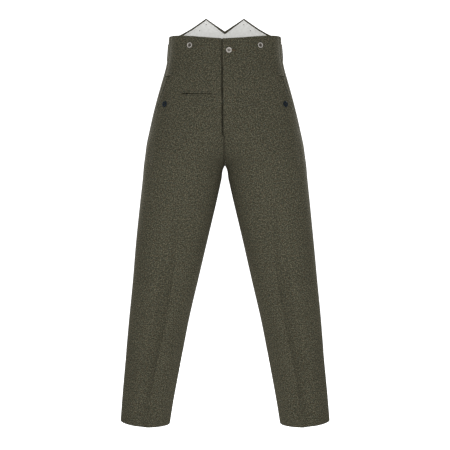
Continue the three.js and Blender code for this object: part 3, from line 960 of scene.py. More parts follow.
@dataclass(frozen=True)
class PlainCotton:
    """Bleached plain-woven cotton: matt and near white, with slightly uneven yarns."""

    name: str = "plain_woven_cotton"
    tone: str = "#fbfbf8"
    shadow: str = "#f3f3ef"
    yarn: float = 1.6 * MM  # real yarns are a third of this; drawn wider so that they show
    roughness: float = 0.9

    def build(self) -> bpy.types.Material:
        """Makes the material."""
        material, tree, shader = new_material(self.name)
        coords = add_node(tree, "ShaderNodeUVMap", uv_map="cloth").outputs["UV"]
        slubs = add_node(
            tree, "ShaderNodeTexNoise", {"Vector": coords, "Scale": 1 / (9 * MM), "Detail": 3.0}
        )
        tone = set_ramp(
            add_node(tree, "ShaderNodeValToRGB", {"Fac": slubs.outputs["Fac"]}),
            ((0.35, self.shadow), (0.62, self.tone)),
        )
        tree.links.new(tone.outputs["Color"], shader.inputs["Base Color"])
        warp, weft = (
            add_node(
                tree, "ShaderNodeTexWave",
                {"Vector": coords, "Scale": 1 / (self.yarn * 20), "Distortion": 0.6, "Detail": 1.0},
                wave_type="BANDS", bands_direction=direction,
            )
            for direction in ("X", "Y")
        )
        weave = add_node(
            tree, "ShaderNodeMath", {0: warp.outputs["Fac"], 1: weft.outputs["Fac"]}, operation="MULTIPLY"
        )
        bump = add_node(
            tree, "ShaderNodeBump",
            {"Height": weave.outputs["Value"], "Strength": 0.25, "Distance": 0.2 * MM},
        )
        tree.links.new(bump.outputs["Normal"], shader.inputs["Normal"])
        shader.inputs["Roughness"].default_value = self.roughness
        shader.inputs["Specular IOR Level"].default_value = 0.25
        return material


@dataclass(frozen=True)
class WornMetal:
    """Pressed sheet metal, worn satin: pale and dull in uneven patches, with painted shade in the dish of a
    button.
    """

    name: str
    pale: str
    dull: str
    roughness: float
    metallic: float = 0.7
    dish_shade: str = "#66615a"  # painted shade, laid in the dish of a button
    wear: float = 1.8 * MM

    def build(self) -> bpy.types.Material:
        """Makes the material."""
        material, tree, shader = new_material(self.name)
        coords = add_node(tree, "ShaderNodeTexCoord").outputs["Object"]
        patches = add_node(
            tree, "ShaderNodeTexNoise", {"Vector": coords, "Scale": 1 / self.wear, "Detail": 4.0}
        )
        tone = set_ramp(
            add_node(tree, "ShaderNodeValToRGB", {"Fac": patches.outputs["Fac"]}),
            ((0.36, self.dull), (0.6, self.pale)),
        )
        # Painted shade: the dish of a button, marked hollow on its mesh, is darkened towards the colour
        # given for that shade.
        hollow = add_node(tree, "ShaderNodeAttribute", attribute_name="hollow").outputs["Fac"]
        shaded_tone = mix_colours(tree, hollow, tone.outputs["Color"], linear(self.dish_shade))
        tree.links.new(shaded_tone, shader.inputs["Base Color"])
        rub = add_node(
            tree, "ShaderNodeMapRange",
            {
                "Value": patches.outputs["Fac"],
                "To Min": self.roughness + 0.12,
                "To Max": self.roughness - 0.1,
            },
        )
        tree.links.new(rub.outputs["Result"], shader.inputs["Roughness"])
        scratches = add_node(
            tree, "ShaderNodeTexNoise", {"Vector": coords, "Scale": 1 / (0.5 * MM), "Detail": 2.0}
        )
        bump = add_node(
            tree, "ShaderNodeBump",
            {"Height": scratches.outputs["Fac"], "Strength": 0.15, "Distance": 0.05 * MM},
        )
        tree.links.new(bump.outputs["Normal"], shader.inputs["Normal"])
        shader.inputs["Metallic"].default_value = self.metallic
        return material


@dataclass(frozen=True)
class MouldedButton:
    """Moulded blue-black button plastic: dull from wear, with faint mould flow."""

    name: str = "moulded_blue_black"
    tone: str = "#151d25"
    flow: str = "#1d262f"
    roughness: float = 0.7

    def build(self) -> bpy.types.Material:
        """Makes the material."""
        material, tree, shader = new_material(self.name)
        coords = add_node(tree, "ShaderNodeTexCoord").outputs["Object"]
        swirl = add_node(
            tree, "ShaderNodeTexNoise",
            {"Vector": coords, "Scale": 1 / (3 * MM), "Detail": 2.0, "Distortion": 1.2},
        )
        tone = set_ramp(
            add_node(tree, "ShaderNodeValToRGB", {"Fac": swirl.outputs["Fac"]}),
            ((0.4, self.tone), (0.65, self.flow)),
        )
        tree.links.new(tone.outputs["Color"], shader.inputs["Base Color"])
        dents = add_node(
            tree, "ShaderNodeBump",
            {"Height": swirl.outputs["Fac"], "Strength": 0.1, "Distance": 0.1 * MM},
        )
        tree.links.new(dents.outputs["Normal"], shader.inputs["Normal"])
        shader.inputs["Roughness"].default_value = self.roughness
        shader.inputs["Specular IOR Level"].default_value = 0.12
        return material


@dataclass(frozen=True)
class SewingThread:
    """Twisted cotton thread: matt, a little uneven where the strands turn."""

    name: str
    tone: str
    shadow: str
    twist: float = 0.9 * MM

    def build(self) -> bpy.types.Material:
        """Makes the material."""
        material, tree, shader = new_material(self.name)
        coords = add_node(tree, "ShaderNodeTexCoord").outputs["Object"]
        strands = add_node(
            tree, "ShaderNodeTexNoise", {"Vector": coords, "Scale": 1 / self.twist, "Detail": 2.0}
        )
        tone = set_ramp(
            add_node(tree, "ShaderNodeValToRGB", {"Fac": strands.outputs["Fac"]}),
            ((0.38, self.shadow), (0.62, self.tone)),
        )
        tree.links.new(tone.outputs["Color"], shader.inputs["Base Color"])
        bump = add_node(
            tree, "ShaderNodeBump",
            {"Height": strands.outputs["Fac"], "Strength": 0.3, "Distance": 0.1 * MM},
        )
        tree.links.new(bump.outputs["Normal"], shader.inputs["Normal"])
        shader.inputs["Roughness"].default_value = 0.85
        shader.inputs["Specular IOR Level"].default_value = 0.25
        return material


@dataclass(frozen=True)
class Finishes:
    """All finishes of the garment, made once."""

    wool: bpy.types.Material
    cotton: bpy.types.Material
    button: bpy.types.Material
    waist_button: bpy.types.Material
    buckle: bpy.types.Material
    dark: bpy.types.Material
    wool_thread: bpy.types.Material
    brown_thread: bpy.types.Material
    white_thread: bpy.types.Material

    @classmethod
    def make(cls) -> "Finishes":
        """Makes every finish."""
        return cls(
            wool=MelangeWool().build(),
            cotton=PlainCotton().build(),
            button=WornMetal("pressed_metal_satin", "#cbc6c0", "#a8a39d", 0.5).build(),
            # The waist button takes a lighter copy of the metal, with lighter painted shade in its dish.
            waist_button=WornMetal(
                "pressed_metal_lighter", "#d2cdc7", "#a9a49e", 0.5, dish_shade="#8a867f"
            ).build(),
            buckle=WornMetal("stamped_steel", "#a9a6a0", "#6d6a66", 0.45).build(),
            dark=MouldedButton().build(),
            wool_thread=SewingThread("olive_cotton_thread", "#4f4b3b", "#39372c").build(),
            brown_thread=SewingThread("brown_buttonhole_twist", "#6b5940", "#483c2c").build(),
            white_thread=SewingThread("grey_button_thread", "#45423c", "#2e2c27").build(),
        )


# ---- Sewing ---------------------------------------------------------------------------------


@dataclass(frozen=True)
class Stitch:
    """One kind of stitch: its pitch, the length that shows, and the thread's half thickness."""

    pitch: float = 3.4 * MM
    length: float = 2.5 * MM
    radius: float = 0.28 * MM


class Sewing:
    """Collects stitches as small grains of thread and makes one piece of them."""

    def __init__(self) -> None:
        """Starts an empty piece."""
        self.bm = bmesh.new()

    def one(self, place: np.ndarray, along: np.ndarray, facing: np.ndarray, length: float,
            radius: float) -> None:
        """Adds one stitch.

        Args:
            place: Its middle.
            along: Its direction.
            facing: The direction that the cloth faces there.
            length: Its length.
            radius: Half its thickness.
        """
        forward = Vector(along).normalized()
        up = Vector(facing)
        up = (up - forward * up.dot(forward)).normalized()
        turn = Matrix((forward, up.cross(forward), up)).transposed().to_4x4()
        size = Matrix.Diagonal((length / 2, radius, radius * 0.8, 1.0))
        bmesh.ops.create_icosphere(
            self.bm, subdivisions=1, radius=1.0, matrix=Matrix.Translation(place) @ turn @ size
        )

    def run(self, points: np.ndarray, normals: np.ndarray, kind: Stitch) -> None:
        """Adds a row of stitches along a line.

        Args:
            points: Points of the line.
            normals: The directions that the cloth faces there.
            kind: The kind of stitch.
        """
        steps = np.linalg.norm(np.diff(points, axis=0), axis=-1)
        arc = np.concatenate([[0.0], np.cumsum(steps)])
        count = max(1, int(arc[-1] / kind.pitch))
        middles = (np.arange(count) + 0.5) * arc[-1] / count
        for middle in middles:
            ends = [
                np.array([np.interp(middle + way * kind.length / 2, arc, points[:, k]) for k in range(3)])
                for way in (-1, 1)
            ]
            facing = np.array([np.interp(middle, arc, normals[:, k]) for k in range(3)])
            self.one((ends[0] + ends[1]) / 2, ends[1] - ends[0], facing, kind.length, kind.radius)

    def finish(self, name: str, material: bpy.types.Material, slot: Slot) -> bpy.types.Object:
        """Makes the piece."""
        obj = new_object(name, self.bm, material)
        return dress(obj, slot)


TOPSTITCH = Stitch()
FINE_STITCH = Stitch(pitch=2.6 * MM, length=1.9 * MM, radius=0.24 * MM)


# ---- Sub-assemblies -------------------------------------------------------------------------


@dataclass
class Panels:
    """Two fronts and two backs: the main cloth of the garment."""

    finishes: Finishes
    topstitch_in: float = 4.5 * MM  # distance of the top edge's stitching from the edge
    rows: Rows = field(
        default_factory=lambda: Rows(eased(20, 0.75), PANEL_LEVELS, eased(16, 0.7))
    )

    def build(self, extras: Sequence[bpy.types.Object] = ()) -> None:
        """Builds the four panels.

        Args:
            extras: Separate pieces of cloth that lie on the right front; not used.
        """
        for side in Side:
            self.front(side, extras if side is Side.RIGHT else ())
            self.back(side)
            self.edge_stitching(side)

    def front(self, side: Side, extras: Sequence[bpy.types.Object]) -> None:
        """Builds a front, cut back at the pocket's mouth, and on the left with the fly's lap."""
        cloth = CLOTH[side]
        count = Layout.front_count()
        z = self.rows.heights(Layout.front, count, front_edge)
        angle = Layout.front(z)
        base = FORM.point(angle, z)
        roll = -border_roll(base, ("first", "top"), 0.7 * MM, 2.0 * MM)
        roll = roll - self.side_roll(base, z)
        if side is Side.RIGHT:
            roll = roll - WatchPocket.cut(base)
        points, normals = cloth.place(angle, z, roll)
        main = len(Layout.INNER) + len(Layout.OUTER) - 2
        below = (z[0, :-1] + z[0, 1:]) / 2 < CUT.mouth_top
        keep = np.ones((points.shape[0] - 1, points.shape[1] - 1), bool)
        keep[main:, below] = False
        if side is Side.LEFT:
            points, normals, keep = self.with_lap(points, normals, keep)
        obj = cloth_sheet(f"front_{side.word}_cloth", points, normals, WOOL, self.finishes.wool, keep)
        dress(obj, Slot.WOOL, f"front_{side.word}")

    @staticmethod
    def side_roll(base: np.ndarray, z: np.ndarray) -> np.ndarray:
        """Roll of the front's outer border: the seam above and below, the mouth between."""
        main = len(Layout.INNER) + len(Layout.OUTER) - 2
        over = z > CUT.mouth_top
        outer = border_roll(base, ("last",), 1.3 * MM, 5.0 * MM)
        mouth = np.zeros_like(outer)
        mouth[:main + 1] = border_roll(base[:main + 1], ("last",), 0.6 * MM, 2.0 * MM)
        return np.where(over, outer, mouth)

    @staticmethod
    def with_lap(points: np.ndarray, normals: np.ndarray,
                 keep: np.ndarray) -> tuple[np.ndarray, np.ndarray, np.ndarray]:
        """Adds the strip of the left front that laps over the right one."""
        z = points[0, :, 2]
        share = np.clip(z / CUT.fly_end, 0, 1)
        reach = lerp(CUT.fly_edge[0], CUT.fly_edge[1], share)
        shares = np.array([0.0, 0.12, 0.3, 0.55, 0.8])[:, None]
        x = lerp(-reach[None], np.full_like(reach, SEAM / 2)[None], shares)
        heights = np.tile(z, (len(shares), 1))
        roll = -0.8 * MM * np.exp(-(((x + reach[None]) / (1.4 * MM)) ** 2))
        strip, facing = CLOTH[Side.LEFT].over(FRONT, np.abs(x), heights, roll)
        strip[..., 0] = x
        facing[..., 0] = np.where(x < 0, -facing[..., 0], facing[..., 0])
        kept = np.tile((z[:-1] + z[1:]) / 2 > CUT.fly_end, (len(shares), 1))
        return (
            np.vstack([strip, points]),
            np.vstack([facing, normals]),
            np.vstack([kept, keep]),
        )

    def back(self, side: Side) -> None:
        """Builds a back with its half of the fishtail."""
        cloth = CLOTH[side]
        z = self.rows.heights(Layout.back, Layout.back_count(), back_edge)
        angle = Layout.back(z)
        base = FORM.point(angle, z)
        roll = -border_roll(base, ("first", "last", "top"))
        points, normals = cloth.place(angle, z, roll)
        obj = cloth_sheet(f"back_{side.word}_cloth", points, normals, WOOL, self.finishes.wool)
        dress(obj, Slot.WOOL, f"back_{side.word}")

    def edge_stitching(self, side: Side) -> None:
        """Sews the turned top edge and the pocket's mouth with thread of the cloth's colour."""
        sewing = Sewing()
        start = 8 * MM if side is Side.RIGHT else 0.5 * MM
        x = np.linspace(start, 158 * MM, 80)
        z = front_edge(x) - self.topstitch_in
        sewing.run(*CLOTH[side].over(FRONT, x, z, 0.1 * MM), TOPSTITCH)
        x = np.linspace(1.5 * MM, 158 * MM, 160)
        slope = np.gradient(back_edge(x), x)
        z = back_edge(x) - self.topstitch_in * np.hypot(1, slope)
        sewing.run(*CLOTH[side].over(BACK, x, z, 0.1 * MM), TOPSTITCH)
        z = np.linspace(CUT.mouth_top - 2 * MM, CUT.mouth_end + 12 * MM, 60)
        mouth = FORM.mouth_angle(z)
        inward = 6 * MM / np.linalg.norm(FORM.point(mouth + 0.01, z) - FORM.point(mouth, z), axis=-1)
        sewing.run(*CLOTH[side].place(mouth + 0.01 * inward, z, 0.1 * MM), TOPSTITCH)
        sewing.finish(f"edge_stitches_{side.word}", self.finishes.wool_thread, Slot.WOOL)


@dataclass
class FishtailLining:
    """White cotton halves inside the fishtail, felled along the wool's border."""

    finishes: Finishes
    bottom: float = -45 * MM
    sunk: float = 0.9 * MM
    edge: float = math.radians(2)
    seam: float = 51 * MM  # level of the seam across the lining
    fell: float = 5 * MM  # width of the felled edge

    def build(self) -> None:
        """Builds both halves with the knots of the brace buttons' thread."""
        for side in Side:
            self.half(side)
            self.knots(side)

    def angles(self, z: np.ndarray) -> np.ndarray:
        """Angles of the lining's columns: the back's own, ended before the side seam."""
        angle = Layout.back(z)
        return np.minimum(angle, angle[-1:] - self.edge)

    def half(self, side: Side) -> None:
        """Builds one half."""
        rows = Rows(eased(40, 0.6), np.linspace(-30 * MM, self.bottom, 5))
        z = rows.heights(self.angles, Layout.back_count(), lining_edge)
        angle = self.angles(z)
        base = FORM.point(angle, z)
        drop = np.linalg.norm(base - base[:, :1], axis=-1)
        felled = -0.45 * MM * (1 - smoothstep(drop, self.fell - 1 * MM, self.fell + 0.6 * MM))
        groove = 0.45 * MM * np.exp(-(((z - self.seam) / (1.3 * MM)) ** 2))
        welt = -0.3 * MM * smoothstep(self.seam - z, 0.5 * MM, 2.0 * MM)
        lift = -WOOL - self.sunk + felled + groove + welt * (z < self.seam)
        points, normals = CLOTH[side].place(angle, z, lift)
        obj = cloth_sheet(
            f"lining_{side.word}_cotton", points, normals, COTTON, self.finishes.cotton
        )
        dress(obj, Slot.LINING, f"lining_{side.word}")

    def knots(self, side: Side) -> None:
        """Thread of the back's brace buttons, where it comes through the lining."""
        sewing = Sewing()
        for x, z in Buttons.BACK_BRACES:
            depth = -WOOL - self.sunk - COTTON - 0.35 * MM
            place, facing = CLOTH[side].over(BACK, np.array(x), np.array(z), np.array(depth))
            for along in ((1, 0, 0.5), (1, 0, -0.6), (0.2, 0, 1)):
                sewing.one(place, np.array(along), facing, 3.4 * MM, 0.7 * MM)
        sewing.finish(f"lining_knots_{side.word}", self.finishes.white_thread, Slot.LINING)


@dataclass
class SidePockets:
    """Bearers that show in the slanted mouths, and the bar tacks that end them."""

    finishes: Finishes
    hidden: float = 9 * MM
    sunk: float = 0.5 * MM

    def build(self) -> None:
        """Builds both pockets."""
        for side in Side:
            self.bearer(side)
            self.tacks(side)

    def bearer(self, side: Side) -> None:
        """Builds the cloth under one mouth."""
        z = levels((-92, 0), (-97.8, 3), (-99.8, 6), (-112, 8), (-250, 40), (-256, 2))
        z = np.tile(z, (84, 1))
        size = np.linalg.norm(FORM.point(FORM.seam_angle(z), z), axis=-1)
        margin = self.hidden / size * 2
        share = np.linspace(0, 1, len(z))[:, None]
        angle = lerp(FORM.mouth_angle(z) + margin, FORM.seam_angle(z) - margin, share)
        points = FORM.point(angle, z)
        normals = FORM.normal(angle, z)
        cloth = CLOTH[side]
        hollow = 1.0 * MM * np.exp(-(((z - CUT.mouth_top + 24 * MM) / (30 * MM)) ** 2))
        lift = cloth.relief(points, angle) - cloth.opening(points, angle)
        lift = np.minimum(lift, 0) - WOOL - self.sunk - hollow * np.sin(np.pi * share)
        lift = lift + self.flush(angle, z)
        mirror = np.array([side.value, 1, 1])
        points, normals = (points + normals * lift[..., None]) * mirror, normals * mirror
        obj = cloth_sheet(
            f"pocket_bearer_{side.word}_cloth", points, normals, WOOL, self.finishes.wool
        )
        dress(obj, Slot.WOOL, f"pocket_bearer_{side.word}")

    def flush(self, angle: np.ndarray, z: np.ndarray) -> np.ndarray:
        """How far the open part of a bearer comes up to lie level with the cloth at its edges.

        Args:
            angle: Angles of its points.
            z: Their heights.

        Returns:
            Heights outwards.
        """
        seam = FORM.seam_angle(z)
        run = np.linalg.norm(FORM.point(seam + 0.01, z) - FORM.point(seam, z), axis=-1) / 0.01
        gap = (angle - seam) * run
        width = (FORM.mouth_angle(z) - seam) * run
        level = smoothstep(gap, 0.3 * MM, 1.4 * MM) * smoothstep(CUT.mouth_top - z, 0.2 * MM, 1.4 * MM)
        sink = smoothstep(gap, 0.35 * width, 0.85 * width + 1 * MM)
        return (WOOL + self.sunk - CLEAR) * level * (1 - sink) - 1.4 * MM * sink

    def tacks(self, side: Side) -> None:
        """Sews a bar tack at each end of a mouth."""
        sewing = Sewing()
        for level, toward in ((CUT.mouth_top + 2 * MM, 0.035), (CUT.mouth_end + 8 * MM, 0.012)):
            angle = float(FORM.mouth_angle(np.array(level))) + toward
            for k in range(9):
                z = np.array(level - 4 * MM + k * MM)
                place, facing = CLOTH[side].place(np.array(angle), z, np.array(0.15 * MM))
                ahead, _ = CLOTH[side].place(np.array(angle + 0.02), z)
                sewing.one(place, ahead - place, facing, 3.0 * MM, 0.32 * MM)
        sewing.finish(f"pocket_tacks_{side.word}", self.finishes.wool_thread, Slot.WOOL)


@dataclass
class WatchPocket:
    """Slit on the right front between two narrow lips."""

    finishes: Finishes
    outer: float = 120 * MM
    inner: float = 38 * MM
    z: float = -154 * MM
    drop: float = 2.5 * MM
    lip: float = 4.6 * MM
    slit: float = 0.9 * MM
    welt: float = 1.3 * MM

    def middle(self, share: np.ndarray) -> tuple[np.ndarray, np.ndarray]:
        """Place across and height of the slit's middle line."""
        return lerp(self.inner, self.outer, share), self.z - self.drop * (1 - share)

    @classmethod
    def cut(cls, points: np.ndarray, depth: float = 7 * MM) -> np.ndarray:
        """How far the right front sinks into the pocket along the slit."""
        share = (points[..., 0] - cls.inner) / (cls.outer - cls.inner)
        off = points[..., 2] - (cls.z - cls.drop * (1 - share))
        half = lerp(1.5 * MM, 2.2 * MM, smoothstep(share, 0.5, 0.95))
        along = smoothstep(share, 0.0, 0.03) * smoothstep(1 - share, 0.0, 0.03)
        return np.where(points[..., 1] < 0, depth * along * np.exp(-((off / half) ** 4)), 0.0)

    def build(self) -> list[bpy.types.Object]:
        """Builds the lips and their stitching.

        Returns:
            The lips.
        """
        lips = [self.one_lip("upper", self.slit / 2), self.one_lip("lower", -self.slit / 2 - self.lip)]
        sewing = Sewing()
        share = np.linspace(0.01, 0.99, 40)
        x, z = self.middle(share)
        for offset in (self.slit / 2 + self.lip + 1.1 * MM, -self.slit / 2 - self.lip - 1.1 * MM):
            sewing.run(*CLOTH[Side.RIGHT].over(FRONT, x, z + offset, 0.1 * MM), FINE_STITCH)
        for end in (-0.012, 1.012):
            x, z = self.middle(np.full(7, end))
            z = z + np.linspace(-self.lip, self.lip, 7)
            sewing.run(*CLOTH[Side.RIGHT].over(FRONT, x, z, 0.2 * MM), FINE_STITCH)
        sewing.finish("watch_pocket_stitches", self.finishes.wool_thread, Slot.WOOL)
        return lips

    def one_lip(self, word: str, start: float) -> bpy.types.Object:
        """Builds one lip, rounded over and a little open at the outer end."""
        share = eased(56, 0.5)[:, None]
        part = eased(8, 0.7)[None]
        x, middle = self.middle(share)
        z = middle + start + self.lip * (1 - part)
        open_end = smoothstep(share, 0.62, 0.9)
        if word == "upper":
            z = z + (0.25 + 0.65 * open_end) * MM * part
        else:
            z = z - (0.35 + 0.75 * open_end) * MM * (1 - part)
        x = np.broadcast_to(x, z.shape)
        bulge = (0.5 + 0.5 * open_end) * MM * np.sin(np.pi * part) ** 0.5
        low = 0.0 if word == "upper" else 0.6 * MM
        lift = CLEAR + self.welt - 0.35 * MM + bulge - low
        points, normals = CLOTH[Side.RIGHT].over(FRONT, x, z, np.broadcast_to(lift, z.shape))
        obj = cloth_sheet(f"watch_pocket_{word}_lip_cloth", points, normals, self.welt,
                          self.finishes.wool)
        return dress(obj, Slot.WOOL, f"watch_pocket_{word}_lip")


@dataclass
class Cinch:
    """Two half-belts across the back and the buckle that draws them together."""

    finishes: Finishes
    root: float = math.radians(2)
    root_height: float = 49 * MM
    end_height: float = 25 * MM
    z: float = -21.5 * MM
    end: float = 3 * MM
    lift: float = 0.8 * MM
    buckle_width: float = 34 * MM
    buckle_height: float = 35 * MM
    bar: float = 3.2 * MM
    plate: float = 1.8 * MM

    def build(self) -> None:
        """Builds the belts, their stitching and the buckle."""
        for side in Side:
            self.belt(side)
        self.buckle()

    def end_angle(self) -> float:
        """Angle at which a belt ends behind the buckle."""
        return float(FORM.angle_at(np.array(self.end), np.array(self.z)))

    def height(self, share: np.ndarray) -> np.ndarray:
        """Height of the belt at a share of its way to the buckle."""
        return lerp(self.root_height, self.end_height, smoothstep(share, 0, 1))

    def belt(self, side: Side) -> None:
        """Builds one half-belt with two rows of stitches."""
        share = eased(90, 0.6)[:, None]
        part = lerp(0.5, -0.5, eased(16, 0.6))[None]
        angle = -lerp(self.root, self.end_angle(), share)
        z = self.z + part * self.height(share)
        angle = np.broadcast_to(angle, z.shape)
        base = FORM.point(angle, z)
        roll = -border_roll(base, ("top", "bottom", "last"), 0.6 * MM, 1.6 * MM)
        sway = 0.25 * MM * (1 + np.sin(46 * share + side.value)) * np.cos(np.pi * part) ** 2
        lift = self.lift + WOOL + roll + sway
        points, normals = CLOTH[side].place(angle, z, lift)
        obj = cloth_sheet(f"cinch_strap_{side.word}_cloth", points, normals, WOOL, self.finishes.wool)
        dress(obj, Slot.WOOL, f"cinch_strap_{side.word}")
        sewing = Sewing()
        share = np.linspace(0.02, 0.9, 90)
        angle = -lerp(self.root, self.end_angle(), share)
        for way in (-1, 1):
            z = self.z + way * (self.height(share) / 2 - 3.5 * MM)
            sewing.run(*CLOTH[side].place(angle, z, self.lift + WOOL + 0.35 * MM), TOPSTITCH)
        sewing.finish(f"cinch_stitches_{side.word}", self.finishes.wool_thread, Slot.WOOL)

    def buckle(self) -> None:
        """Builds the buckle: a frame with a middle bar and two prongs, eased at its edges."""
        bm = bmesh.new()
        bmesh.ops.create_grid(bm, x_segments=2, y_segments=1, size=0.5)
        bmesh.ops.scale(bm, vec=(self.buckle_width, self.buckle_height, 1), verts=bm.verts[:])
        bmesh.ops.inset_individual(bm, faces=bm.faces[:], thickness=self.bar, use_even_offset=True)
        inner = [f for f in bm.faces if all(len(v.link_edges) == 3 for v in f.verts)
                 and max(abs(v.co.y) for v in f.verts) < self.buckle_height / 2 - self.bar / 2]
        for face in inner:
            for vert in face.verts:
                if abs(vert.co.x) < self.bar * 1.5:
                    vert.co.x *= 0.5
        holes = [f for f in bm.faces if f.calc_center_median().length > 0
                 and abs(f.calc_center_median().y) < 1 * MM
                 and f.calc_area() > 0.2 * self.buckle_width * self.buckle_height]
        bmesh.ops.delete(bm, geom=holes, context="FACES")
        sheet = bmesh.ops.extrude_face_region(bm, geom=bm.faces[:])
        raised = [v for v in sheet["geom"] if isinstance(v, bmesh.types.BMVert)]
        bmesh.ops.translate(bm, vec=(0, 0, self.plate), verts=raised)
        bmesh.ops.recalc_face_normals(bm, faces=bm.faces[:])
        sharp = [e for e in bm.edges if e.is_manifold and e.calc_face_angle(0) > 1.0]
        bmesh.ops.bevel(bm, geom=sharp, offset=0.55 * MM, segments=3, profile=0.5,
                        affect="EDGES", material=-1)
        for way in (-1, 1):
            self.prong(bm, way * 7 * MM)
        centre = np.array(-FORM.angle_at(np.array(0.0), np.array(self.z)))
        place = FORM.point(centre, np.array(self.z))
        facing = FORM.normal(centre, np.array(self.z))
        height = self.lift + WOOL + CLEAR
        seat = seat_matrix(place + facing * height, facing, upright=True)
        bmesh.ops.transform(bm, matrix=seat, verts=bm.verts[:])
        obj = new_object("cinch_buckle_steel", bm, self.finishes.buckle)
        dress(obj, Slot.STEEL, "cinch_buckle")

    def prong(self, bm: bmesh.types.BMesh, y: float) -> None:
        """Adds a tapered prong from the middle bar over the outer one."""
        length = self.buckle_width / 2 + 1.0 * MM
        matrix = (
            Matrix.Translation((length / 2 - 1 * MM, y, self.plate + 0.55 * MM))
            @ Matrix.Rotation(math.radians(90), 4, "Y")
        )
        bmesh.ops.create_cone(bm, cap_ends=True, segments=12, radius1=1.15 * MM, radius2=0.5 * MM,
                              depth=length, matrix=matrix)


def seat_matrix(place: np.ndarray, facing: np.ndarray, upright: bool = False) -> Matrix:
    """Matrix that puts a shape made on the floor on a face, its Z along the face's direction.

    Args:
        place: Where its origin goes.
        facing: The direction of its Z.
        upright: Whether its Y is kept as near to straight up as it can be.

    Returns:
        The matrix.
    """
    normal = Vector(facing).normalized()
    up = Vector((0, 0, 1))
    y = (up - normal * up.dot(normal)).normalized()
    if not upright:
        y = Matrix.Rotation(0.4, 3, normal) @ y
    x = y.cross(normal)
    turn = Matrix((x, y, normal)).transposed().to_4x4()
    return Matrix.Translation(Vector(place)) @ turn


@dataclass(frozen=True)
class ButtonShape:
    """Sizes of a sew-through button."""

    radius: float
    thick: float
    rim: float
    dish: float
    depth: float
    hole: float = 0.95 * MM
    spread: float = 1.9 * MM  # distance of the holes from the middle


